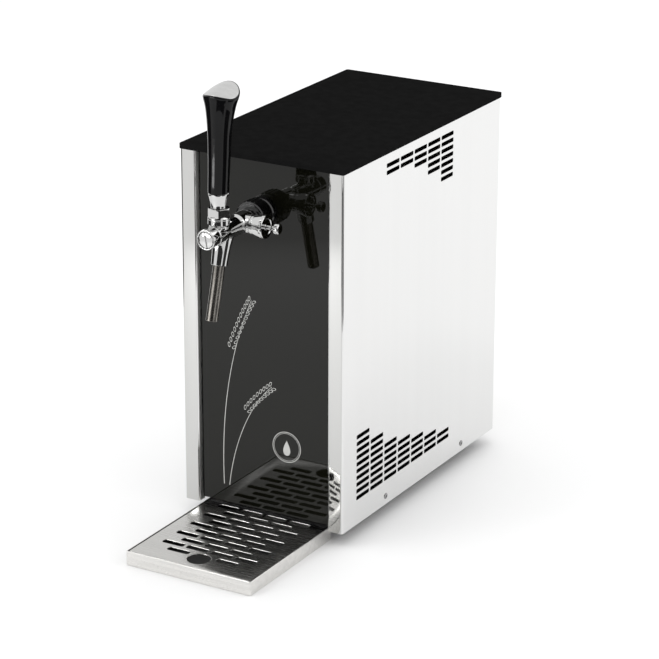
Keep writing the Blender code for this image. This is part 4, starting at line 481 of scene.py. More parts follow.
def bevel(thing: Thing, width: float, segments: int, angle: float) -> Thing:
    """Bevel a piece's sharp edges and settle it.

    Args:
        thing: the piece.
        width: width in millimetres.
        segments: steps of the round.
        angle: least angle of a bevelled edge, in degrees.

    Returns:
        The piece, as a plain mesh.
    """
    modifier = thing.modifiers.new("Edges", "BEVEL")
    modifier.width = width * MM
    modifier.segments = segments
    modifier.limit_method = "ANGLE"
    modifier.angle_limit = math.radians(angle)
    return settle(thing, BEVEL_SMOOTH_ANGLE)


def dress(thing: Thing, body: Body, finish: Finish, *nodes: str) -> None:
    """Let a piece ride on its body and stand for CAD nodes.

    Args:
        thing: the finished piece.
        body: the body that it moves with.
        finish: its finish, which names the slot; not used.
        nodes: the CAD nodes that it stands for.
    """
    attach(thing, body.value)
    if nodes:
        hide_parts(*nodes)
    LOG.info("%s: %d faces on %s", thing.name, len(thing.data.polygons), body.value)


def paint(thing: Thing, finish: Finish, chosen: Callable[[Vector, Vector], bool]) -> None:
    """Give some faces of a piece a second finish.

    Args:
        thing: the piece.
        finish: the second finish.
        chosen: tells from a face's middle, in the cabinet frame, and its normal.
    """
    mesh = thing.data
    mesh.materials.append(finish.material())
    index = len(mesh.materials) - 1
    zero = place(0, 0, 0)
    for face in mesh.polygons:
        if chosen((face.center - zero) / MM, face.normal):
            face.material_index = index


def fillet(points: Outline, radius: float, steps: int = 3) -> list[Spot]:
    """Round the inner corners of an open profile.

    Args:
        points: the profile's corners.
        radius: the largest radius; a short side gets less.
        steps: segments of each round.

    Returns:
        The profile with rounded corners.
    """
    straight, folded, longest_share = math.radians(176), math.radians(4), 0.48
    flat = [Vector(point) for point in points]
    out = [tuple(flat[0])]
    for before, corner, after in zip(flat, flat[1:], flat[2:]):
        back, on = before - corner, after - corner
        bend = back.angle(on, math.pi) if back.length and on.length else math.pi
        if bend > straight or bend < folded:
            out.append(tuple(corner))
            continue
        reach = min(radius / math.tan(bend / 2), longest_share * back.length, longest_share * on.length)
        first, last = corner + back.normalized() * reach, corner + on.normalized() * reach
        for step in range(steps + 1):
            share = step / steps
            out.append(tuple(first.lerp(corner, share).lerp(corner.lerp(last, share), share)))
    out.append(tuple(flat[-1]))
    return out


def skin(bm: Mesh, rows: Sequence[Sequence[bmesh.types.BMVert]], closed: bool) -> None:
    """Bridge neighbouring rings of vertices with faces.

    Args:
        bm: the mesh that they are in.
        rows: the rings, with as many vertices each.
        closed: bridge the last ring to the first too.
    """
    pairs = list(zip(rows, rows[1:]))
    if closed:
        pairs.append((rows[-1], rows[0]))
    for low, high in pairs:
        for index in range(len(low)):
            after = (index + 1) % len(low)
            corners = list(dict.fromkeys((low[index], low[after], high[after], high[index])))
            if len(corners) > 2:
                bm.faces.new(corners)


def lathe(profile: Outline, start: Point, along: Point = UPWARDS, steps: int = 72) -> Mesh:
    """Turn a profile round an axis: a ring, or a solid if it starts and ends on the axis.

    Args:
        profile: points of (radius, distance) from one end to the other.
        start: where the distance is zero.
        along: the axis.
        steps: sides of the turned shape.

    Returns:
        The turned mesh.
    """
    bm = bmesh.new()
    rows = []
    for radius, distance in profile:
        if radius < TINY:
            rows.append([bm.verts.new((0, 0, distance))] * steps)
            continue
        rows.append([
            bm.verts.new((radius * math.cos(a), radius * math.sin(a), distance))
            for a in (math.tau * step / steps for step in range(steps))
        ])
    skin(bm, rows, closed=profile[0][0] > TINY)
    turn = Vector(along).to_track_quat("Z", "Y").to_matrix().to_4x4()
    bmesh.ops.transform(bm, matrix=Matrix.Translation(start) @ turn, verts=bm.verts)
    return bm


def loft(rings: Sequence[Sequence[Point]], closed: bool = False) -> Mesh:
    """Skin a stack of rings.

    Args:
        rings: the rings, with as many points each.
        closed: bridge the last ring to the first, instead of capping both.

    Returns:
        The mesh.
    """
    bm = bmesh.new()
    rows = [[bm.verts.new(point) for point in ring] for ring in rings]
    skin(bm, rows, closed)
    if not closed:
        bm.faces.new(rows[0])
        bm.faces.new(rows[-1])
    return bm


def prism(outline: Iterable[Spot], axis: Axis, low: float, high: float) -> Mesh:
    """Extrude an outline along an axis, from low to high."""
    points = list(outline)
    return loft([[tuple((u, v, w)[part] for part in axis.value) for u, v in points] for w in (low, high)])


def stack(levels: Iterable[tuple[float, Outline]]) -> Mesh:
    """Skin outlines that lie above or inside each other, each given with its height."""
    return loft([[(x, y, height) for x, y in outline] for height, outline in levels])


def merged(parts: Iterable[Mesh]) -> Mesh:
    """Put meshes together in one, without joining their faces.

    Args:
        parts: the meshes, which are used up.

    Returns:
        The one mesh.
    """
    whole = bmesh.new()
    for part in parts:
        mesh = bpy.data.meshes.new("part")
        part.to_mesh(mesh)
        part.free()
        whole.from_mesh(mesh)
        bpy.data.meshes.remove(mesh)
    return whole


def turned(
    name: str, node: str, profile: Outline, start: Point, along: Point, finish: Finish,
    body: Body = Body.CABINET, steps: int = 72,
) -> None:
    """Turn a piece that stands for a CAD node, as lathe does, and dress it."""
    dress(new_piece(name, lathe(profile, start, along, steps), finish), body, finish, node)


def rounded_rectangle(low: Spot, high: Spot, radius: float, steps: int = 5) -> list[Spot]:
    """Corners of a rectangle with round corners, anticlockwise.

    Args:
        low: its lowest corner.
        high: its highest corner.
        radius: radius of the corners.
        steps: segments of a corner.

    Returns:
        The outline.
    """
    centres = (
        (high[0] - radius, high[1] - radius),
        (low[0] + radius, high[1] - radius),
        (low[0] + radius, low[1] + radius),
        (high[0] - radius, low[1] + radius),
    )
    outline = []
    for quarter, (x, y) in enumerate(centres):
        for step in range(steps + 1):
            angle = math.pi / 2 * (quarter + step / steps)
            outline.append((x + radius * math.cos(angle), y + radius * math.sin(angle)))
    return outline


def centred(size: Spot, radius: float, steps: int = 5) -> list[Spot]:
    """A rectangle with round corners about zero, of a width and a height."""
    half = (size[0] / 2, size[1] / 2)
    return rounded_rectangle((-half[0], -half[1]), half, radius, steps)


# Geometry Nodes for what repeats


@dataclass(frozen=True)
class Row:
    """A straight row of places in metres: where it starts, its step and its count."""

    start: Vector
    step: Vector
    count: int


class Tree:
    """A geometry node tree whose named inputs are set on its modifier."""

    def __init__(self, name: str) -> None:
        """Start a tree with a geometry input and output.

        Args:
            name: its name.
        """
        self.group = bpy.data.node_groups.new(name, "GeometryNodeTree")
        for way in ("INPUT", "OUTPUT"):
            self.group.interface.new_socket("Geometry", in_out=way, socket_type="NodeSocketGeometry")
        self.values: dict[str, object] = {}
        self.source = self.group.nodes.new("NodeGroupInput")
        self.drain = self.group.nodes.new("NodeGroupOutput")

    def size(self, name: str, value: object, kind: str = "Float") -> Socket:
        """Add a named input with the value that its modifier will set.

        Args:
            name: the input's name.
            value: its value.
            kind: the kind of socket.

        Returns:
            The socket that carries it in the tree.
        """
        item = self.group.interface.new_socket(name, in_out="INPUT", socket_type="NodeSocket" + kind)
        self.values[item.identifier] = value
        return self.source.outputs[name]

    def node(self, kind: str, out: str, inputs: dict[str, object], **settings: object) -> Socket:
        """Add a node to the tree, as add_node does, and return its wanted output."""
        return add_node(self.group, "GeometryNode" + kind, out, inputs, **settings)

    def copies(self, shape: Thing, rows: Sequence[Row]) -> Socket:
        """Set a shape at each place of some rows.

        Args:
            shape: what is repeated, about the origin.
            rows: where it goes.

        Returns:
            The instances.
        """
        item = self.size("Shape", shape, "Object")
        one = self.node("ObjectInfo", "Geometry", {"Object": item})
        lines = []
        for index, row in enumerate(rows):
            count = self.size(f"Count {index}", row.count, "Int")
            places = {"Count": count, "Start Location": tuple(row.start), "Offset": tuple(row.step)}
            lines.append(self.node("MeshLine", "Mesh", places))
        points = self.node("JoinGeometry", "Geometry", {"Geometry": lines})
        return self.node("InstanceOnPoints", "Instances", {"Points": points, "Instance": one})

    def run(self, thing: Thing, geometry: Socket, finish: Finish) -> Thing:
        """End the tree, set it on an object, fill its inputs and settle the result.

        Args:
            thing: the object whose mesh goes in.
            geometry: what the tree makes.
            finish: the finish of all of it.

        Returns:
            The object with the tree's result as its mesh.
        """
        real = self.node("RealizeInstances", "Geometry", {"Geometry": geometry})
        dressed = self.node("SetMaterial", "Geometry", {"Geometry": real, "Material": finish.material()})
        self.group.links.new(dressed, self.drain.inputs["Geometry"])
        modifier = thing.modifiers.new(self.group.name, "NODES")
        modifier.node_group = self.group
        for identifier, value in self.values.items():
            modifier[identifier] = value
        return settle(thing)


def punch(thing: Thing, name: str, tool: Thing, rows: Sequence[Row], finish: Finish) -> None:
    """Punch a tool through a sheet at each place of some rows.

    Args:
        thing: the sheet.
        name: the tree's name.
        tool: the cutting shape, about the origin; it is used up.
        rows: where to punch.
        finish: the sheet's finish.
    """
    tree = Tree(name)
    holes = tree.node("RealizeInstances", "Geometry", {"Geometry": tree.copies(tool, rows)})
    meshes = {"Mesh 1": tree.source.outputs["Geometry"], "Mesh 2": holes}
    cut = tree.node("MeshBoolean", "Mesh", meshes, operation=Join.CUT.value, solver="EXACT")
    tree.run(thing, cut, finish)
    bpy.data.objects.remove(tool, do_unlink=True)


def scatter(name: str, shape: Thing, rows: Sequence[Row], finish: Finish) -> Thing:
    """Set a shape at each place of some rows, as one plain mesh.

    Args:
        name: the piece's name.
        shape: what is repeated, about the origin; it is used up.
        rows: where it goes.
        finish: the finish of all of it.

    Returns:
        The piece.
    """
    tree = Tree(name + "_rows")
    piece = tree.run(put(name, bpy.data.meshes.new(name)), tree.copies(shape, rows), finish)
    bpy.data.objects.remove(shape, do_unlink=True)
    return piece


def loose_tool(name: str, bm: Mesh, finish: Finish) -> Thing:
    """A shape about the origin, for a tree to repeat.

    Args:
        name: its name.
        bm: its mesh in millimetres about the origin, which is used up.
        finish: its finish.

    Returns:
        The object, in metres.
    """
    shift = Matrix.Translation((0, -FRONT_Y / MM, -FOOT_HEIGHT / MM))
    bmesh.ops.transform(bm, matrix=shift, verts=bm.verts)
    return new_piece(name, bm, finish)


# Cabinet


@dataclass
class CabinetShell:
    """The bent steel sides with their vents, the lid and the screws.

    Args:
        width: across both sides.
        depth: from the strips to the rear.
        height: of the shell.
        strip_return: how far a front strip's inner edge is folded back.
        vent_pitch: from column to column and from row to row.
        upper_start: middle of the first upper vent (y, z).
        upper_vents: vents in each upper column, counted downwards.
        lower_start: middle of the first lower vent (y, z).
        lower_vents: vents in each lower column, counted upwards.
        side_screw: radius and rise of a side screw's head.
        side_screw_start: where the first one is (y, z).
        rear_screw: radius and rise of a rear screw's head.
        rear_screw_start: how far in from the side and how high the first one is.
        screw_shares: radius and rise of a head's outline, as shares of the head's.
        sunk: how deep the foot of a head sits in the sheet.
        slack: allowance for telling which faces a fold has.
    """

    width: float = 175.0
    depth: float = 313.0
    height: float = 352.0
    sheet: float = 1.0
    strip: float = 16.5
    strip_return: float = 9.0
    bend: float = 2.5
    rear_flange: float = 12.0
    vent_size: Spot = (24.5, 4.2)
    vent_corner: float = 1.1
    vent_pitch: Spot = (27.0, 6.88)
    upper_start: Spot = (92.4, 340.8)
    upper_vents: tuple[int, ...] = (2, 2, 3, 5, 7)
    lower_start: Spot = (38.9, 27.1)
    lower_vents: tuple[int, ...] = (10, 8, 6, 5, 4, 3, 2)
    punch_reach: float = 4.0
    lid_over: float = 1.0
    lid_gap: float = 0.3
    lid_thick: float = 5.2
    lid_corner: float = 2.5
    lid_edge: float = 0.5
    side_screw: Spot = (3.0, 0.95)
    side_screw_start: Spot = (84.3, 8.5)
    side_screw_pitch: float = 156.5
    rear_screw: Spot = (2.3, 0.9)
    rear_screw_start: Spot = (6.5, 14.0)
    rear_screw_pitch: float = 81.0
    rear_screw_count: int = 5
    screw_shares: Outline = ((0, 0), (1, 0), (0.93, 0.5), (0.7, 0.85), (0.34, 1), (0.26, 0.3), (0, 0.3))
    sunk: float = 0.02
    slack: float = 0.2

    def build(self) -> None:
        """Build the shell's pieces."""
        self.side("left_side_shell", -1, "left_side_panel")
        self.side("right_side_shell", 1, "right_side_panel")
        self.lid()
        self.side_screws()
        self.rear_screws()

    def bent_outline(self) -> list[Spot]:
        """The folded sheet seen from above, for the side at +X.

        Returns:
            Its outline: the outer line, then the inner one.
        """
        outer = self.width / 2
        path = [
            (outer - self.strip, self.strip_return),
            (outer - self.strip, 0),
            (outer, 0),
            (outer, self.depth),
            (outer - self.rear_flange, self.depth),
        ]
        bends = fillet(path, self.bend, steps=6)
        inside = []
        for index, (x, y) in enumerate(bends):
            before = Vector(bends[max(index - 1, 0)])
            after = Vector(bends[min(index + 1, len(bends) - 1)])
            run = (after - before).normalized()
            inside.append((x - run.y * self.sheet, y + run.x * self.sheet))
        return bends + inside[::-1]

    def vent_rows(self, x: float) -> list[Row]:
        """The columns of vents in a side.

        Args:
            x: where the side lies.

        Returns:
            Its upper columns, which run down, and its lower ones, which run up.
        """
        rows = []
        for (y, z), counts, way in (
            (self.upper_start, self.upper_vents, -1), (self.lower_start, self.lower_vents, 1)
        ):
            step = Vector((0, 0, way * self.vent_pitch[1] * MM))
            for column, count in enumerate(counts):
                rows.append(Row(place(x, y + self.vent_pitch[0] * column, z), step, count))
        return rows

    def side(self, name: str, side: int, node: str) -> None:
        """One side: bent sheet with two fields of punched vents.

        Args:
            name: the piece's name.
            side: -1 for the left, 1 for the right.
            node: the CAD node that it stands for.
        """
        outline = [(side * x, y) for x, y in self.bent_outline()]
        panel = new_piece(name, prism(outline, Axis.Z, 0, self.height), POLISHED_STEEL)
        slot = centred(self.vent_size, self.vent_corner, steps=4)
        bm = prism(slot, Axis.X, -self.punch_reach, self.punch_reach)
        tool = loose_tool("vent_tool", bm, POLISHED_STEEL)
        punch(panel, name + "_vents", tool, self.vent_rows(side * self.width / 2), POLISHED_STEEL)
        self.front_strip(panel, side)
        dress(panel, Body.CABINET, POLISHED_STEEL, node)

    def front_strip(self, panel: Thing, side: int) -> None:
        """Give the front strip a darker copy of the polished steel as painted shade, and its return a
        duller one.

        Args:
            panel: the side.
            side: -1 for the left, 1 for the right.
        """
        inner = self.width / 2 - self.strip + self.sheet + self.slack
        start, end = self.sheet, self.strip_return + self.sheet
        facing, aside = -0.9, -0.5

        def folded(spot: Vector, normal: Vector) -> bool:
            """Whether a face lies on the strip's return and looks inwards."""
            return abs(spot.x) < inner and start < spot.y < end and normal.x * side < aside

        # Painted shade: the strip's front faces take the darker copy of the polished steel.
        paint(panel, SHADED_STRIP_STEEL, lambda spot, normal: spot.y < start and normal.y < facing)
        paint(panel, SATIN_RETURN, folded)

    def lid(self) -> None:
        """The black lid with round corners and a fine round along its edges."""
        half, over = self.width / 2 + self.lid_over, self.lid_over
        low, high = (-half, -over), (half, self.depth + over)
        outline = rounded_rectangle(low, high, self.lid_corner, steps=8)
        foot = self.height + self.lid_gap
        lid = new_piece("black_lid", prism(outline, Axis.Z, foot, foot + self.lid_thick), LID_PAINT)
        bevel(lid, self.lid_edge, segments=3, angle=60)
        dress(lid, Body.CABINET, LID_PAINT, "top_lid")

    def screw(self, size: Spot, way: Point) -> Thing:
        """A low round screw head about the origin, with a recess in its middle.

        Args:
            size: radius of the head and how far it stands out.
            way: the way that it faces.

        Returns:
            The head, for a tree to repeat.
        """
        head, rise = size
        dome = [(head * wide, rise * high) for wide, high in self.screw_shares]
        return loose_tool("screw_head", lathe(dome, (0, 0, 0), way, steps=20), SCREW_STEEL)

    def side_screws(self) -> None:
        """The two screws low on each side."""
        y, z = self.side_screw_start
        step = Vector((0, self.side_screw_pitch * MM, 0))
        for name, side in (("right_screws", 1), ("left_screws", -1)):
            rows = [Row(place(side * (self.width / 2 - self.sunk), y, z), step, 2)]
            head = self.screw(self.side_screw, (side, 0, 0))
            dress(scatter(name, head, rows, SCREW_STEEL), Body.CABINET, SCREW_STEEL)

    def rear_screws(self) -> None:
        """The screws along the rear panel's flanges."""
        margin, z = self.rear_screw_start
        y, step = self.depth - self.sunk, Vector((0, 0, self.rear_screw_pitch * MM))
        places = [place(side * (self.width / 2 - margin), y, z) for side in (-1, 1)]
        rows = [Row(start, step, self.rear_screw_count) for start in places]
        head = self.screw(self.rear_screw, ALONG_Y)
        dress(scatter("rear_screws", head, rows, SCREW_STEEL), Body.CABINET, SCREW_STEEL)


@dataclass
class DialScale:
    """The plain scale round the temperature knob: ticks that grow to one side.

    Args:
        face: where the rear panel's outer face lies.
        radius: from the knob's middle to a tick's foot.
        length: the first tick's length and what each next one adds.
        start: the first tick's angle in degrees.
        turn: degrees from tick to tick.
        proud: how far the ticks stand out.
    """

    face: float = 312.3
    ticks: int = 11
    radius: float = 17.2
    wide: float = 0.7
    corner: float = 0.15
    length: Spot = (1.6, 0.22)
    start: float = -135.0
    turn: float = 27.0
    proud: float = 0.06
    sunk: float = 0.02

    def build(self) -> None:
        """Build the scale as one piece."""
        ticks = merged(self.tick(number) for number in range(self.ticks))
        dress(new_piece("dial_scale", ticks, MATTE_BLACK), Body.CABINET, MATTE_BLACK)

    def tick(self, number: int) -> Mesh:
        """One tick, turned round the knob's middle.

        Args:
            number: its place in the scale.

        Returns:
            Its mesh.
        """
        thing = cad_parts["thermostat_knob"]
        corners = [thing.matrix_world @ Vector(corner) for corner in thing.bound_box]
        knob = (sum(corners, Vector()) / len(corners) - place(0, 0, 0)) / MM
        low = (-self.wide / 2, self.radius)
        high = (self.wide / 2, self.radius + self.length[0] + self.length[1] * number)
        outline = rounded_rectangle(low, high, self.corner, steps=2)
        bm = prism(outline, Axis.Y, self.face - self.sunk, self.face + self.proud)
        turn = Matrix.Rotation(math.radians(self.start + self.turn * number), 4, "Y")
        spot = Matrix.Translation((knob.x, 0, knob.z))
        bmesh.ops.transform(bm, matrix=spot @ turn, verts=bm.verts)
        return bm


# Drip tray


@dataclass
class DripTray:
    """The drip pan and the slotted plate in it.

    Args:
        front: how far the pan reaches to the front.
        tuck: how far it reaches under the cabinet.
        top: height of its rim.
        bottom: height of the floor that it stands on.
        rim: how far the rim's round goes down, out and in.
        plate_drop: how far the plate's top lies below the rim.
        plate_lift: how far its skirt stands above the pan's foot.
        plate_edges: depth and inset of the steps of the plate's round edge.
        slot_pitch: from slot to slot and from row to row.
        first_slot: where the rearmost row is.
        finger_hole: radius of the hole and where it is.
    """

    half: float = 68.0
    front: float = -133.0
    tuck: float = 14.3
    top: float = -0.3
    bottom: float = -14.5
    wall: float = 1.2
    corner: float = 2.0
    inner_corner: float = 0.9
    floor: float = 1.0
    foot_round: float = 0.5
    rim: Point = (0.25, 0.3, 0.25)
    margin: float = 0.8
    plate: float = 1.2
    plate_drop: float = 0.2
    plate_lift: float = 1.3
    plate_corner: float = 1.5
    skirt: float = 1.0
    skirt_corner: float = 0.6
    plate_edges: Outline = ((0.5, 0.0), (0.15, 0.15), (0.0, 0.5))
    plate_bevel: float = 0.35
    plate_smooth: float = 20.0
    slot_size: Spot = (23.0, 7.0)
    slot_corner: float = 2.0
    slot_pitch: Spot = (26.35, 12.0)
    first_slot: float = 1.5
    slot_rows: int = 10
    punch_reach: float = 3.0
    finger_hole: Spot = (11.2, -113.0)
    slack: float = 0.05

    def build(self) -> None:
        """Build the pan and its plate."""
        self.pan()
        self.grid()

    def outline(self, margin: float, corner: float) -> list[Spot]:
        """The pan's outline moved in by a margin, with its own corner radius."""
        low, high = (-self.half + margin, self.front + margin), (self.half - margin, self.tuck - margin)
        return rounded_rectangle(low, high, corner)

    def pan(self) -> None:
        """The folded pan with upright corners and a fine round along its rim; its inside takes painted
        shade.
        """
        outer, inner = self.outline(0, self.corner), self.outline(self.wall, self.inner_corner)
        down, out, back = self.rim
        levels = (
            (self.bottom, self.inset(outer, self.foot_round)),
            (self.bottom + self.foot_round, outer),
            (self.top - down, outer),
            (self.top, self.inset(outer, out)),
            (self.top, self.inset(inner, -back)),
            (self.top - down, inner),
            (self.bottom + self.floor, inner),
        )
        pan = new_piece("drip_pan_shell", stack(levels), BRUSHED_STEEL)
        # Painted shade: the faces inside the pan, below the rim, take the near-black finish.
        paint(pan, PAN_INSIDE_SHADE, self.inside)
        dress(pan, Body.TRAY, BRUSHED_STEEL, "drip_pan")

    def inside(self, spot: Vector, normal: Vector) -> bool:
        """Tell which faces of the pan lie inside it, below the rim: the faces that take the painted shade.

        Args:
            spot: the face's middle.
            normal: its normal, which doesn't matter here.

        Returns:
            Whether the face is one of them.
        """
        reach = self.wall - self.slack
        within = abs(spot.x) < self.half - reach and self.front + reach < spot.y < self.tuck - reach
        low, high = self.bottom + self.foot_round + 2 * self.slack, self.top - 2 * self.slack
        return within and low < spot.z < high

    def inset(self, outline: Outline, by: float) -> list[Spot]:
        """Move an outline inwards.

        Args:
            outline: the outline.
            by: how far, in millimetres.

        Returns:
            The smaller outline.
        """
        middle = (self.front + self.tuck) / 2
        long = (self.tuck - self.front) / 2
        return [
            (x * (1 - by / self.half), middle + (y - middle) * (1 - by / long)) for x, y in outline
        ]

    def grid(self) -> None:
        """The inset plate: a shallow tray turned over, with slots and a finger hole."""
        margin = self.wall + self.margin
        outer = self.outline(margin, self.plate_corner)
        inner = self.outline(margin + self.skirt, self.skirt_corner)
        top, bottom = self.top - self.plate_drop, self.bottom + self.plate_lift
        levels = [(top - self.plate, inner), (bottom, inner), (bottom, outer)]
        levels += [(top - depth, self.inset(outer, by)) for depth, by in self.plate_edges]
        plate = new_piece("slotted_plate", stack(levels), PLATE_STEEL)
        reach = self.punch_reach
        slot = prism(centred(self.slot_size, self.slot_corner), Axis.Z, -reach, reach)
        tool = loose_tool("slot_tool", slot, PLATE_STEEL)
        punch(plate, "drain_slots", tool, self.slots(top), PLATE_STEEL)
        radius, y = self.finger_hole
        hole = lathe([(0, -reach), (radius, -reach), (radius, reach), (0, reach)], (0, y, top), steps=64)
        combine(plate, Join.CUT, new_piece("finger_tool", hole, PLATE_STEEL))
        bevel(plate, self.plate_bevel, segments=2, angle=60)
        shade(plate.data, math.radians(self.plate_smooth))
        dress(plate, Body.GRID, PLATE_STEEL, "drip_grid")

    def slots(self, top: float) -> list[Row]:
        """The rows of drain slots, four and three by turns.

        Args:
            top: height of the plate.

        Returns:
            The rows; the last one is open in the middle.
        """
        across, down = self.slot_pitch
        rows = []
        for index in range(self.slot_rows):
            count, step = (3 if index % 2 else 4), across
            if index == self.slot_rows - 1:
                count, step = 2, 2 * across
            start = place(-step * (count - 1) / 2, self.first_slot - down * index, top)
            rows.append(Row(start, Vector((step * MM, 0, 0)), count))
        return rows


# Print on the glass


@dataclass
class GlassPrint:
    """A plain line decoration on the black glass: two barley stalks and a drop in a ring.

    Args:
        face: where the glass's front lies.
        stalks: the name of each stalk, the handles of its curve (x, z) and its width at the foot.
        taper: how much narrower a stalk ends, as a share.
        heads: the name of each head, the handles of its curve and its grains on each side.
        grain: a grain's length and half its width.
        grain_lean: degrees that the grains lean out.
        grain_off: how far they stand from the stalk.
        grain_hole: size of a grain's open middle, as a share.
        rings: the name of each ring and its outer and inner radius.
        drop: half the drop's width and half its height.
        drop_point: how sharp its upper end is.
        drop_low: how far below the rings' middle it lies.
    """

    face: float = 5.0
    thick: float = 0.06
    sunk: float = 0.02
    stalks: tuple[tuple[str, Outline, float], ...] = (
        ("print_stalk_long", ((-46, 22), (-49, 95), (-38, 160), (-14, 214)), 0.45),
        ("print_stalk_short", ((-40, 22), (-34, 72), (-14, 112), (8, 132)), 0.4),
    )
    stalk_steps: int = 40
    taper: float = 0.5
    heads: tuple[tuple[str, Outline, int], ...] = (
        ("print_grains_long", ((-38, 160), (-31, 180), (-22, 200), (-14, 214)), 11),
        ("print_grains_short", ((-22, 100), (-14, 112), (-2, 124), (8, 132)), 9),
    )
    grain: Spot = (5.2, 1.35)
    grain_lean: float = 28.0
    grain_off: float = 1.7
    grain_hole: float = 0.72
    grain_steps: int = 12
    centre: Spot = (24.0, 74.0)
    rings: tuple[tuple[str, float, float], ...] = (
        ("print_ring_outer", 15.5, 14.8), ("print_ring_inner", 13.9, 13.55)
    )
    drop: Spot = (5.2, 7.6)
    drop_point: float = 1.2
    drop_low: float = 1.0
    drop_steps: int = 48

    def build(self) -> None:
        """Build the stalks, their grains, the rings and the drop."""
        back = self.face - self.sunk
        front = back - self.thick
        x, z = self.centre
        for name, points, wide in self.stalks:
            self.piece(name, prism(self.stalk(points, wide), Axis.Y, front, back))
        for name, points, count in self.heads:
            self.piece(name, merged(self.grains(points, count, front, back)))
        for name, outer, inner in self.rings:
            profile = [(inner, back), (outer, back), (outer, front), (inner, front)]
            self.piece(name, lathe(profile, (x, 0, z), ALONG_Y, steps=96))
        self.piece("print_drop", prism(self.drop_outline(), Axis.Y, front, back))

    def piece(self, name: str, bm: Mesh) -> None:
        """Make a part of the print a piece on the cabinet."""
        dress(new_piece(name, bm, WHITE_PRINT), Body.CABINET, WHITE_PRINT)

    def curve(self, points: Outline, share: float) -> tuple[Vector, Vector]:
        """A point of a cubic curve through four handles, and its direction.

        Args:
            points: the handles (x, z).
            share: how far along.

        Returns:
            The point and the direction, in the glass's plane.
        """
        a, b, c, d = (Vector(point) for point in points)
        one, two, three = a.lerp(b, share), b.lerp(c, share), c.lerp(d, share)
        first, last = one.lerp(two, share), two.lerp(three, share)
        return first.lerp(last, share), (last - first).normalized()

    def stalk(self, points: Outline, wide: float) -> list[Spot]:
        """The outline of a tapering line.

        Args:
            points: handles of its curve.
            wide: its width at the foot.

        Returns:
            Its left edge, then its right one.
        """
        left, right = [], []
        for step in range(self.stalk_steps + 1):
            share = step / self.stalk_steps
            spot, run = self.curve(points, share)
            off = Vector((-run.y, run.x)) * wide * (1 - self.taper * share)
            left.append(tuple(spot + off))
            right.append(tuple(spot - off))
        return left + right[::-1]

    def grains(self, points: Outline, count: int, front: float, back: float) -> Iterable[Mesh]:
        """Grains either side of a stalk's head, each a leaf-shaped loop with an open middle.

        Args:
            points: handles of the head's curve.
            count: grains on each side.
            front: where they start.
            back: where they end.

        Returns:
            The grains one by one.
        """
        long, half = self.grain
        for index in range(count):
            spot, run = self.curve(points, (index + 0.5) / count)
            for side in (-1, 1):
                lean = Matrix.Rotation(side * math.radians(self.grain_lean), 2) @ run
                foot = spot + Vector((-run.y, run.x)) * side * self.grain_off
                rings = []
                for scale, y in ((1, back), (1, front), (self.grain_hole, front), (self.grain_hole, back)):
                    ring = []
                    for step in range(2 * self.grain_steps):
                        angle = math.pi * step / self.grain_steps
                        along = lean * long * (0.5 - 0.5 * math.cos(angle) * scale)
                        off = foot + along + Vector((-lean.y, lean.x)) * half * math.sin(angle) * scale
                        ring.append((off.x, y, off.y))
                    rings.append(ring)
                yield loft(rings, closed=True)

    def drop_outline(self) -> list[Spot]:
        """The outline of the drop in the middle of the rings.

        Returns:
            Its corners (x, z).
        """
        (x, z), (wide, tall) = self.centre, self.drop
        outline = []
        for step in range(self.drop_steps):
            angle = math.tau * step / self.drop_steps
            off = wide * math.sin(angle) * math.sin(angle / 2) ** self.drop_point
            outline.append((x + off, z - self.drop_low + tall * math.cos(angle)))
        return outline


# Tap


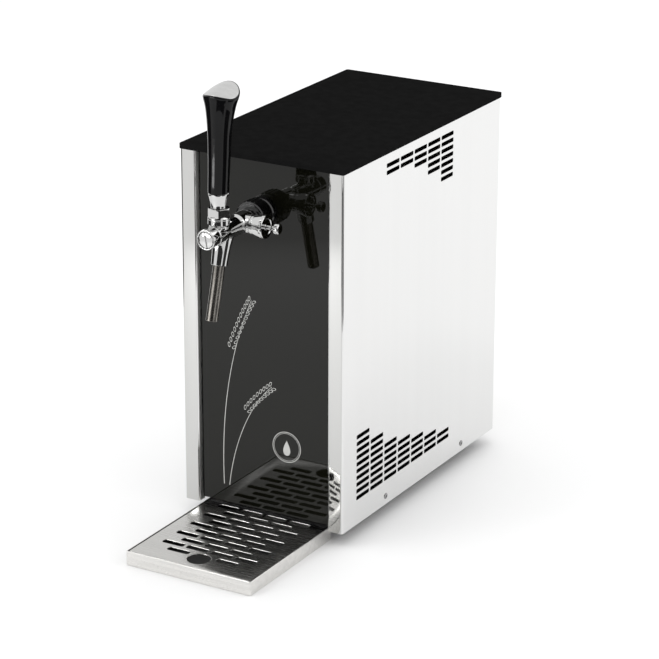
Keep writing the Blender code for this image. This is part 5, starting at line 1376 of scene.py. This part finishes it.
@dataclass
class Tap:
    """The tap: casting, plug, bonnet, spout, nut, rosette and flow compensator.

    The profiles are points of (radius, distance). The distance is a Y for pieces on the barrel's
    axis and an X for the compensator, and it counts from the foot of the piece for the others.

    Args:
        height: height of the barrel's axis.
        side_y: where the compensator's axis crosses the barrel.
        ball: height of the lever's ball.
        boss_top: height of the casting's boss round the lever.
        neck_y: where the spout neck's axis meets the barrel.
        spout_mouth: lower end of the cast neck.
        spout_end: lower end of the pouring tube.
        tube_socket: how far the tube goes into the neck.
        dome: radius of the bonnet's dome and the radii that it starts and ends at.
        nut: front and back of the coupling nut.
        ribs: front and back of its grip ribs, from the nut's ends.
        rib: radius of a rib and of the circle that they stand on.
    """

    height: float = 303.4
    lever_y: float = -72.0
    side_y: float = -34.0
    ball: float = 314.0
    boss_top: float = 311.3
    neck_y: float = -64.135
    spout_mouth: Point = (0, -72.4, 273.5)
    spout_end: Point = (0, -86.0, 224.3)
    tube_socket: float = 5.7
    dome: Point = (11.45, 7.4, 9.9)
    nut: Spot = (-20.5, -3.5)
    ribs: Spot = (2.2, 1.4)
    rib: Spot = (0.72, 15.25)
    rib_count: int = 24
    rib_sides: int = 10
    plug_slot: Spot = (1.4, 18.0)
    plug_slot_depth: Spot = (-96.0, -92.8)
    plug_turn: float = -10.0
    barrel_profile: Outline = (
        (7.95, -90.0), (7.95, -94.4), (8.4, -94.8), (9.0, -94.8), (9.4, -94.3), (9.4, -84.5),
        (9.05, -83.9), (9.05, -82.9), (9.4, -82.3), (9.4, -47.0), (9.9, -44.6), (10.4, -43.0),
        (10.4, -26.2), (9.9, -25.4), (8.2, -23.4), (7.8, -22.6), (7.8, -17.2), (11.7, -17.2),
        (11.7, -11.2), (4.5, -11.2), (4.5, -30), (6.0, -60), (6.0, -90.0),
    )
    neck_profile: Outline = (
        (0, 6.0), (5.9, 6.0), (5.9, 0.25), (6.15, 0.0), (7.2, 0.0), (7.6, 0.35), (7.72, 4.0),
        (8.1, 11.0), (8.7, 18.0), (9.5, 23.0), (10.0, 26.0), (0, 26.0),
    )
    side_profile: Outline = ((0, 0), (8.8, 0), (8.8, 10.9), (8.4, 11.6), (7.4, 12.2), (0, 12.2))
    plug_profile: Outline = (
        (0, -94.2), (7.0, -94.2), (7.45, -94.0), (7.7, -93.5), (7.7, -90.3), (0, -90.3)
    )
    rosette_profile: Outline = (
        (8.3, -3.1), (12.9, -3.1), (14.3, -2.5), (15.1, -1.2), (15.3, 0.4), (15.3, 4.7), (8.3, 4.7)
    )
    bell_profile: Outline = (
        (2.6, 12.5), (8.6, 12.5), (9.2, 13.0), (9.2, 15.4), (9.6, 16.4), (11.5, 24.3), (11.5, 26.3),
        (11.1, 27.0), (10.5, 27.3), (8.0, 27.3), (7.4, 26.6), (3.0, 26.6), (2.6, 26.9),
    )
    spindle_profile: Outline = (
        (0, 41.0), (4.2, 41.0), (5.0, 40.6), (5.2, 39.9), (5.2, 37.0), (4.9, 36.3), (4.2, 36.0),
        (2.2, 36.0), (2.2, 6.2), (0, 6.2),
    )

    def build(self) -> None:
        """Build the tap's pieces."""
        barrel, side = (0, 0, self.height), (0, self.side_y, self.height)
        self.casting()
        self.plug()
        bonnet = (0, self.lever_y, self.ball)
        turned("bonnet_ring", "tap_bonnet", self.bonnet_profile(), bonnet, UPWARDS, CHROME, steps=80)
        up = Vector(self.spout_mouth) - Vector(self.spout_end)
        tube = self.tube_profile(up.length + self.tube_socket)
        # Painted shade and painted reflection: the pouring tube takes the darkened, streaked steel.
        turned("pouring_tube", "spout_tube", tube, self.spout_end, tuple(up), SHADED_SPOUT_STEEL)
        nut = fillet(self.nut_profile(), radius=0.5)
        turned("coupling_nut_ring", "coupling_nut", nut, barrel, ALONG_Y, NUT_BLACK, steps=96)
        self.nut_ribs()
        rosette = fillet(self.rosette_profile, radius=0.4)
        turned("rosette_ring", "tap_rosette", rosette, barrel, ALONG_Y, NUT_BLACK, steps=96)
        bell = fillet(self.bell_profile, radius=0.4)
        spindle = fillet(self.spindle_profile, radius=0.25, steps=2)
        turned("compensator_bell", "compensator_cap", bell, side, ALONG_X, CHROME, steps=80)
        turned(
            "compensator_spindle", "compensator_knob", spindle, side, ALONG_X, CHROME,
            Body.COMPENSATOR, steps=64,
        )

    def casting(self) -> None:
        """The cast body: barrel, lever boss, spout neck and side boss in one."""
        bm = lathe(fillet(self.barrel_profile, radius=0.5), (0, 0, self.height), ALONG_Y, steps=80)
        body = new_piece("tap_casting", bm, CHROME)
        boss = (0, self.lever_y, self.height)
        up = Vector((0, self.neck_y, self.height)) - Vector(self.spout_mouth)
        parts = (
            lathe(fillet(self.boss_profile(), radius=0.4), boss),
            lathe(self.neck_profile, self.spout_mouth, tuple(up)),
            lathe(fillet(self.side_profile, radius=0.5), (0, self.side_y, self.height), ALONG_X),
        )
        others = [new_piece(f"casting_part_{n}", part, CHROME) for n, part in enumerate(parts)]
        combine(body, Join.ADD, *others)
        dress(body, Body.CABINET, CHROME, "tap_body")

    def boss_profile(self) -> list[Spot]:
        """The hollow boss that carries the bonnet, from the barrel's axis up."""
        top = self.boss_top - self.height
        return [
            (0, 0), (8.2, 0), (8.2, 4.2), (8.8, 5.4), (8.8, top - 0.5), (8.4, top), (4.6, top),
            (4.6, 4), (0, 4),
        ]

    def plug(self) -> None:
        """The slotted plug at the front of the barrel."""
        bm = lathe(self.plug_profile, (0, 0, self.height), ALONG_Y)
        plug = new_piece("slotted_plug", bm, CHROME)
        slot = prism(centred(self.plug_slot, radius=0.2, steps=2), Axis.Y, *self.plug_slot_depth)
        turn = Matrix.Rotation(math.radians(self.plug_turn), 4, "Y")
        bmesh.ops.transform(slot, matrix=Matrix.Translation((0, 0, self.height)) @ turn, verts=slot.verts)
        combine(plug, Join.CUT, new_piece("slot_cutter", slot, CHROME))
        dress(plug, Body.CABINET, CHROME, "tap_front_cap")

    def bonnet_profile(self) -> list[Spot]:
        """The round bonnet under the lever's collar, with a groove near its foot.

        Returns:
            Its points, counted from the height of the lever's ball.
        """
        radius, inner, outer = self.dome
        foot = -2.4
        start, end = math.asin(inner / radius), math.asin(outer / radius)
        dome = [start + (end - start) * step / 8 for step in range(1, 9)]
        return [
            (5.1, foot), (5.1, 2.4), (inner, 8.74),
            *((radius * math.sin(angle), radius * math.cos(angle)) for angle in dome),
            (10.1, 5.0), (10.1, 4.6), (9.8, 4.3), (9.8, 3.9), (10.1, 3.6), (10.1, foot + 1.6),
            (9.7, foot + 1.1), (8.4, foot),
        ]

    def tube_profile(self, long: float) -> list[Spot]:
        """The pouring tube with the round of its end, for a length."""
        return [
            (5.15, 0), (5.42, 0.08), (5.6, 0.3), (5.6, long), (4.3, long), (4.3, 0.3), (4.45, 0.05)
        ]

    def nut_profile(self) -> list[Spot]:
        """The coupling nut with its smooth front rim, hollow from the back."""
        front, back = self.nut
        return [
            (8.2, front + 0.4), (8.6, front), (13.4, front), (14.6, front + 0.5), (15.4, front + 1.6),
            (15.4, back - 1.2), (14.6, back), (12.1, back), (12.1, front + 3), (8.2, front + 3),
        ]

    def nut_ribs(self) -> None:
        """The grip ribs round the nut, placed by a tree on a circle."""
        front, back = self.nut[0] + self.ribs[0], self.nut[1] - self.ribs[1]
        tree = Tree("nut_rib_tree")
        count = tree.size("Ribs", self.rib_count, "Int")
        radius = tree.size("Circle radius", self.rib[1] * MM)
        rib = tree.size("Rib radius", self.rib[0] * MM)
        long = tree.size("Rib length", (back - front) * MM)
        circle = tree.node("MeshCircle", "Mesh", {"Vertices": count, "Radius": radius})
        size = {"Vertices": self.rib_sides, "Radius": rib, "Depth": long}
        bar = tree.node("MeshCylinder", "Mesh", size, fill_type="TRIANGLE_FAN")
        placed = tree.node("InstanceOnPoints", "Instances", {"Points": circle, "Instance": bar})
        ribs = tree.node("Transform", "Geometry", {
            "Geometry": placed,
            "Translation": tuple(place(0, (front + back) / 2, self.height)),
            "Rotation": (math.pi / 2, 0, 0),
        })
        piece = tree.run(put("nut_ribs", bpy.data.meshes.new("nut_ribs")), ribs, NUT_BLACK)
        dress(piece, Body.CABINET, NUT_BLACK)


# Lever


@dataclass
class Lever:
    """The lever's collar, ferrule, black handle and its bright top plate.

    Args:
        ball: height of its ball.
        across: width across the collar's flats.
        collar_span: foot and top of the collar.
        collar_hollow: radius of the hollow over the bonnet's dome.
        stem: radius of the bores for the lever's rod.
        radius: half width at its foot.
        spread: how much wider the top is.
        lean: how far the top lies back.
        depth_share: the top's depth over its width.
        slope: rise of the top per millimetre to the back.
        crown: how much lower the top is at its sides.
        section_shares: height, swell, lean and how much of the top's shape each section has.
        recess: depth of the recess for the plate.
        plate_margin: from the outline to the plate's edge.
        plate_edge: width of the round along that edge.
        plate_rise: how far the plate stands above the rim.
        plate_sink: how deep its underside lies.
    """

    y: float = -72.0
    ball: float = 314.0
    across: float = 19.0
    collar_span: Spot = (320.1, 328.0)
    collar_hollow: float = 11.95
    collar_edge: float = 0.15
    collar_limit: Outline = (
        (0, 318), (9.75, 318), (9.75, 320.0), (10.97, 320.8), (10.97, 327.2), (9.2, 328.1), (0, 328.1)
    )
    ferrule_foot: float = 328.3
    ferrule_profile: Outline = (
        (2.7, 0), (6.9, 0), (7.15, 0.25), (7.15, 1.6), (7.35, 3.4), (7.9, 6.4), (8.6, 9.3),
        (9.1, 11.4), (9.4, 12.4), (9.4, 13.35), (9.15, 13.6), (2.7, 13.6),
    )
    stem: float = 2.7
    collar_stem: Spot = (314.0, 330.0)
    handle_stem: Spot = (341.0, 356.3)
    bottom: float = 342.2
    tall: float = 94.2
    radius: float = 9.7
    spread: float = 7.2
    lean: float = 6.4
    depth_share: float = 0.95
    slope: float = 0.22
    crown: float = 6.0
    points: int = 72
    rings: int = 56
    section_shares: tuple[tuple[float, float, float, float], ...] = (
        (0.00, 0.00, 0.00, 0.0),
        (0.19, 0.03, 0.16, 0.0),
        (0.36, 0.08, 0.31, 0.0),
        (0.53, 0.15, 0.42, 0.0),
        (0.65, 0.26, 0.52, 0.1),
        (0.74, 0.39, 0.63, 0.2),
        (0.83, 0.57, 0.77, 0.4),
        (0.90, 0.75, 0.88, 0.7),
        (0.955, 0.92, 0.96, 0.9),
        (0.99, 1.00, 1.00, 1.0),
    )
    recess: float = 1.3
    recess_wall: float = 0.9
    recess_shares: tuple[float, ...] = (0.7, 0.4, 0.12)
    plate_margin: float = 1.15
    plate_edge: float = 0.15
    plate_rise: float = 0.18
    plate_edge_rise: float = 0.02
    plate_sink: float = 0.9
    plate_shares: tuple[float, ...] = (0.93, 0.8, 0.6, 0.4, 0.2, 0.04)

    def build(self) -> None:
        """Build the lever's pieces."""
        self.collar()
        foot = (0, self.y, self.ferrule_foot)
        turned(
            "flared_ferrule", "handle_ferrule", self.ferrule_profile, foot, UPWARDS, CHROME,
            Body.LEVER, steps=80,
        )
        self.handle()
        self.top_plate()

    def bore(self, name: str, span: Spot, finish: Finish) -> Thing:
        """A cutter for the bore of the lever's rod, from one height to another."""
        profile = [(0, span[0]), (self.stem, span[0]), (self.stem, span[1]), (0, span[1])]
        return new_piece(name, lathe(profile, (0, self.y, 0), steps=32), finish)

    def collar(self) -> None:
        """The hexagonal collar, turned at its ends and hollowed over the bonnet's dome."""
        corner = self.across / 2 / math.cos(math.pi / 6)
        turns = [math.pi / 3 * number for number in range(6)]
        outline = [(corner * math.cos(turn), self.y + corner * math.sin(turn)) for turn in turns]
        collar = new_piece("hex_collar", prism(outline, Axis.Z, *self.collar_span), CHROME)
        limit = lathe(self.collar_limit, (0, self.y, 0))
        combine(collar, Join.LIMIT, new_piece("collar_limit", limit, CHROME))
        hollow = bmesh.new()
        centre = Matrix.Translation((0, self.y, self.ball))
        bmesh.ops.create_uvsphere(
            hollow, u_segments=64, v_segments=40, radius=self.collar_hollow, matrix=centre
        )
        dome = new_piece("collar_hollow", hollow, CHROME)
        combine(collar, Join.CUT, dome, self.bore("collar_stem", self.collar_stem, CHROME))
        bevel(collar, self.collar_edge, segments=2, angle=25)
        dress(collar, Body.LEVER, CHROME, "lever_collar")

    def shares(self, height: float) -> list[float]:
        """The swell, lean and top shares at a height share, on a smooth curve through the sections.

        Args:
            height: share of the handle's height.

        Returns:
            Swell, lean and top share.
        """
        rows = self.section_shares
        index = max(n for n in range(len(rows) - 1) if rows[n][0] <= height or n == 0)
        a, b, c, d = (rows[min(max(index + n, 0), len(rows) - 1)] for n in (-1, 0, 1, 2))
        span = c[0] - b[0]
        t = (height - b[0]) / span
        square, cube = t * t, t * t * t
        out = []
        for part in (1, 2, 3):
            slope_in = (c[part] - a[part]) / max(c[0] - a[0], TINY) * span if index else 0
            slope_out = (d[part] - b[part]) / max(d[0] - b[0], TINY) * span
            out.append(
                (2 * cube - 3 * square + 1) * b[part] + (cube - 2 * square + t) * slope_in
                + (3 * square - 2 * cube) * c[part] + (cube - square) * slope_out
            )
        return out

    def ring(self, height: float, inward: float = 0, sink: float = 0, scale: float = 1) -> list[Point]:
        """One oval section of the handle.

        Args:
            height: share of the handle's height.
            inward: how far inside the outline, in millimetres.
            sink: how far below the surface.
            scale: share of the outline's size.

        Returns:
            The section's points.
        """
        swell, lean, top = self.shares(min(height, self.section_shares[-1][0]))
        wide = self.radius + self.spread * swell
        across = (wide - inward) * scale
        deep = (wide * (1 + (self.depth_share - 1) * swell) - inward) * scale
        full = self.radius + self.spread
        middle = self.y + self.lean * lean
        points = []
        for step in range(self.points):
            angle = math.tau * step / self.points
            x, y = across * math.cos(angle), deep * math.sin(angle)
            rise = (self.slope * y - self.crown * (x / full) ** 2) * top
            points.append((x, middle + y, self.bottom + self.tall * height + rise - sink))
        return points

    def handle(self) -> None:
        """The gloss black handle with the recess for its top plate."""
        foot = ((0, 0.35), (0.004, 0))
        lip = ((0.993, 0.03), (0.998, 0.18), (1.0, 0.45), (1.0, 0.8), (0.998, self.recess_wall))
        low, high = 0.02, 0.985
        rings = [self.ring(height, inward) for height, inward in foot]
        rings += [self.ring(low + (high - low) * step / self.rings) for step in range(self.rings + 1)]
        rings += [self.ring(height, inward) for height, inward in lip]
        rings += [
            self.ring(1.0, self.recess_wall, self.recess, scale) for scale in (1, *self.recess_shares)
        ]
        handle = new_piece("black_handle", loft(rings), GLOSS_BLACK)
        combine(handle, Join.CUT, self.bore("handle_stem", self.handle_stem, GLOSS_BLACK))
        dress(handle, Body.LEVER, GLOSS_BLACK, "tap_handle")

    def top_plate(self) -> None:
        """The brushed plate let into the handle's top, with a fine round along its edge."""
        outer, inner = self.plate_margin, self.plate_margin + self.plate_edge
        rings = [self.ring(1.0, outer, self.plate_sink, scale) for scale in self.plate_shares[::-1]]
        rings += [self.ring(1.0, outer, self.plate_sink), self.ring(1.0, outer, -self.plate_edge_rise)]
        rings += [self.ring(1.0, inner, -self.plate_rise, scale) for scale in (1, *self.plate_shares)]
        plate = new_piece("top_plate", loft(rings), BRUSHED_DISC)
        dress(plate, Body.LEVER, BRUSHED_DISC, "handle_top_plate")


# Parts that keep their shape, and the studio


@dataclass
class CarriedParts:
    """The CAD nodes that keep their shape and get a finish.

    Args:
        finishes: the nodes of each finish.
    """

    finishes: tuple[tuple[Finish, str], ...] = (
        (BLACK_GLASS, "front_glass"),
        # Painted shade: the backing plate and the base pan take the near-black zinc.
        (SHADED_ZINC, "front_backing_plate base_pan"),
        (ZINC, "mid_shelf"),
        (REAR_STEEL, "rear_panel"),
        (RUBBER, "foot_front_left foot_front_right foot_rear_left foot_rear_right valve_seal"),
        (CHROME, "tap_shank beer_inlet_fitting air_outlet_fitting"),
        (BRASS, "tap_lever tap_plunger shank_back_nut"),
        (MATTE_BLACK, "beer_inlet_collet air_outlet_collet mains_cable_gland cooling_switch_housing"),
        (MATTE_BLACK, "air_switch_housing thermostat_body start_relay_box fan_shroud fan_motor"),
        (MATTE_BLACK, "fan_wheel air_pump"),
        (GLOSS_BLACK, "thermostat_knob"),
        (RED_ROCKER, "cooling_switch_rocker"),
        (GREEN_ROCKER, "air_switch_rocker"),
        (SHELL_PAINT, "compressor"),
        (MILL_ALUMINIUM, "condenser cooling_block"),
        (DRAWN_COPPER, "filter_drier discharge_line liquid_line capillary_line suction_line"),
        (FOAM, "insulation_jacket insulation_lid"),
        (MILKY_HOSE, "beer_supply_line beer_outlet_line air_line"),
    )

    def build(self) -> None:
        """Give each node its finish."""
        for finish, nodes in self.finishes:
            for node in nodes.split():
                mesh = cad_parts[node].data
                mesh.materials.clear()
                mesh.materials.append(finish.material())
                LOG.info("%s: %s", node, finish.name)


@dataclass
class Studio:
    """The pale floor, the soft lights, the dark cards and the camera at the photograph's angle.

    Args:
        eye: the camera's place in metres.
        azimuth: degrees round the object, 0 looking along +Y.
        elevation: degrees above the horizon.
        roll: degrees about the line of sight.
        lens: focal length in millimetres for the sensor.
        floor: half the floor's side in metres.
        floor_look: tone, roughness and specular level of the floor.
        card_look: the same of the cards.
        cards: the upper corners of the dark cards that only reflections see.
        lights: name, place, sides in metres, watts and aim of each light.
    """

    eye: Point = (1.2873, -2.19815, 1.0943)
    azimuth: float = 30.04
    elevation: float = 19.88
    roll: float = 0.137
    lens: float = 153.33
    sensor: float = 36.0
    near: float = 0.05
    surround: float = 1.05
    floor: float = 6.0
    floor_look: Point = (0.93, 0.6, 0.2)
    card_look: Point = (0.01, 0.8, 0.5)
    cards: tuple[tuple[str, Point, Point], ...] = (
        ("card_left", (-0.62, -0.62, 0.34), (-0.72, 0.10, 0.34)),
        ("card_front", (-0.05, -0.86, 0.17), (0.50, -0.55, 0.17)),
        ("card_right", (0.66, -0.42, 0.30), (0.74, 0.10, 0.30)),
        ("card_back", (-0.65, -4.07, 3.2), (2.64, -2.17, 3.2)),
    )
    lights: tuple[tuple[str, Point, Spot, float, Point], ...] = (
        ("key", (-0.9, -1.0, 2.1), (0.55, 0.55), 5, (0, 0, 0.2)),
        ("right", (2.1, 0.5, 1.3), (1.6, 1.8), 7, (0, 0, 0.2)),
        ("rear", (0.3, 2.2, 1.6), (2.2, 1.4), 7, (0, 0, 0.2)),
        ("handle_glint", (-0.42, -0.93, 0.23), (0.4, 0.1), 1.3, (0, -0.16, 0.38)),
    )

    def build(self) -> None:
        """Build floor, world, cards, lights and camera."""
        side = self.floor
        corners = [(-side, -side, 0), (side, -side, 0), (side, side, 0), (-side, side, 0)]
        self.board("studio_floor", corners, self.floor_look)
        self.world()
        for name, start, end in self.cards:
            corners = [(*start[:2], 0), (*end[:2], 0), end, start]
            card = self.board(name, corners, self.card_look)
            card.visible_camera = card.visible_shadow = card.visible_diffuse = False
        for light in self.lights:
            self.light(*light)
        self.camera()

    def board(self, name: str, corners: list[Point], look: Point) -> Thing:
        """A flat board of the set.

        Args:
            name: its name.
            corners: its corners in metres.
            look: its tone, roughness and specular level.

        Returns:
            The board.
        """
        mesh = bpy.data.meshes.new(name)
        mesh.from_pydata(corners, [], [(0, 1, 2, 3)])
        material = bpy.data.materials.new(name)
        material.use_nodes = True
        tone, roughness, specular = look
        feed(material.node_tree, material.node_tree.nodes["Principled BSDF"], {
            "Base Color": (tone, tone, tone, 1), "Roughness": roughness, "Specular IOR Level": specular
        })
        mesh.materials.append(material)
        board = put(name, mesh)
        return board

    def world(self) -> None:
        """A white surround, shown as it is."""
        world = bpy.data.worlds.new("studio")
        world.use_nodes = True
        back = world.node_tree.nodes["Background"]
        feed(world.node_tree, back, {"Color": (1, 1, 1, 1), "Strength": self.surround})
        bpy.context.scene.world = world
        bpy.context.scene.view_settings.view_transform = "Standard"

    def light(self, name: str, spot: Point, size: Spot, power: float, aim: Point) -> None:
        """One soft rectangular light.

        Args:
            name: its name.
            spot: where it hangs, in metres.
            size: its sides in metres.
            power: its power in watts.
            aim: the spot that it faces.
        """
        lamp = bpy.data.lights.new(name, "AREA")
        lamp.shape = "RECTANGLE"
        lamp.size, lamp.size_y = size
        lamp.energy = power
        thing = put(name, lamp)
        thing.location = spot
        thing.rotation_euler = (Vector(aim) - Vector(spot)).to_track_quat("-Z", "Y").to_euler()

    def camera(self) -> None:
        """The camera, at the photograph's angle and distance."""
        data = bpy.data.cameras.new("camera")
        data.lens, data.sensor_width, data.clip_start = self.lens, self.sensor, self.near
        camera = put("camera", data)
        flat, rise = math.radians(self.azimuth), math.radians(self.elevation)
        look = Vector((-math.sin(flat) * math.cos(rise), math.cos(flat) * math.cos(rise), -math.sin(rise)))
        roll = Matrix.Rotation(math.radians(self.roll), 3, "Z")
        turn = look.to_track_quat("-Z", "Y").to_matrix() @ roll
        camera.matrix_world = Matrix.Translation(self.eye) @ turn.to_4x4()
        bpy.context.scene.camera = camera


def main() -> None:
    """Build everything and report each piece."""
    logging.basicConfig(level=logging.INFO, format="%(message)s")
    for part in (Studio, CabinetShell, DialScale, DripTray, GlassPrint, Tap, Lever, CarriedParts):
        LOG.info("Building %s", part.__name__)
        part().build()


if __name__ == "__main__":
    main()
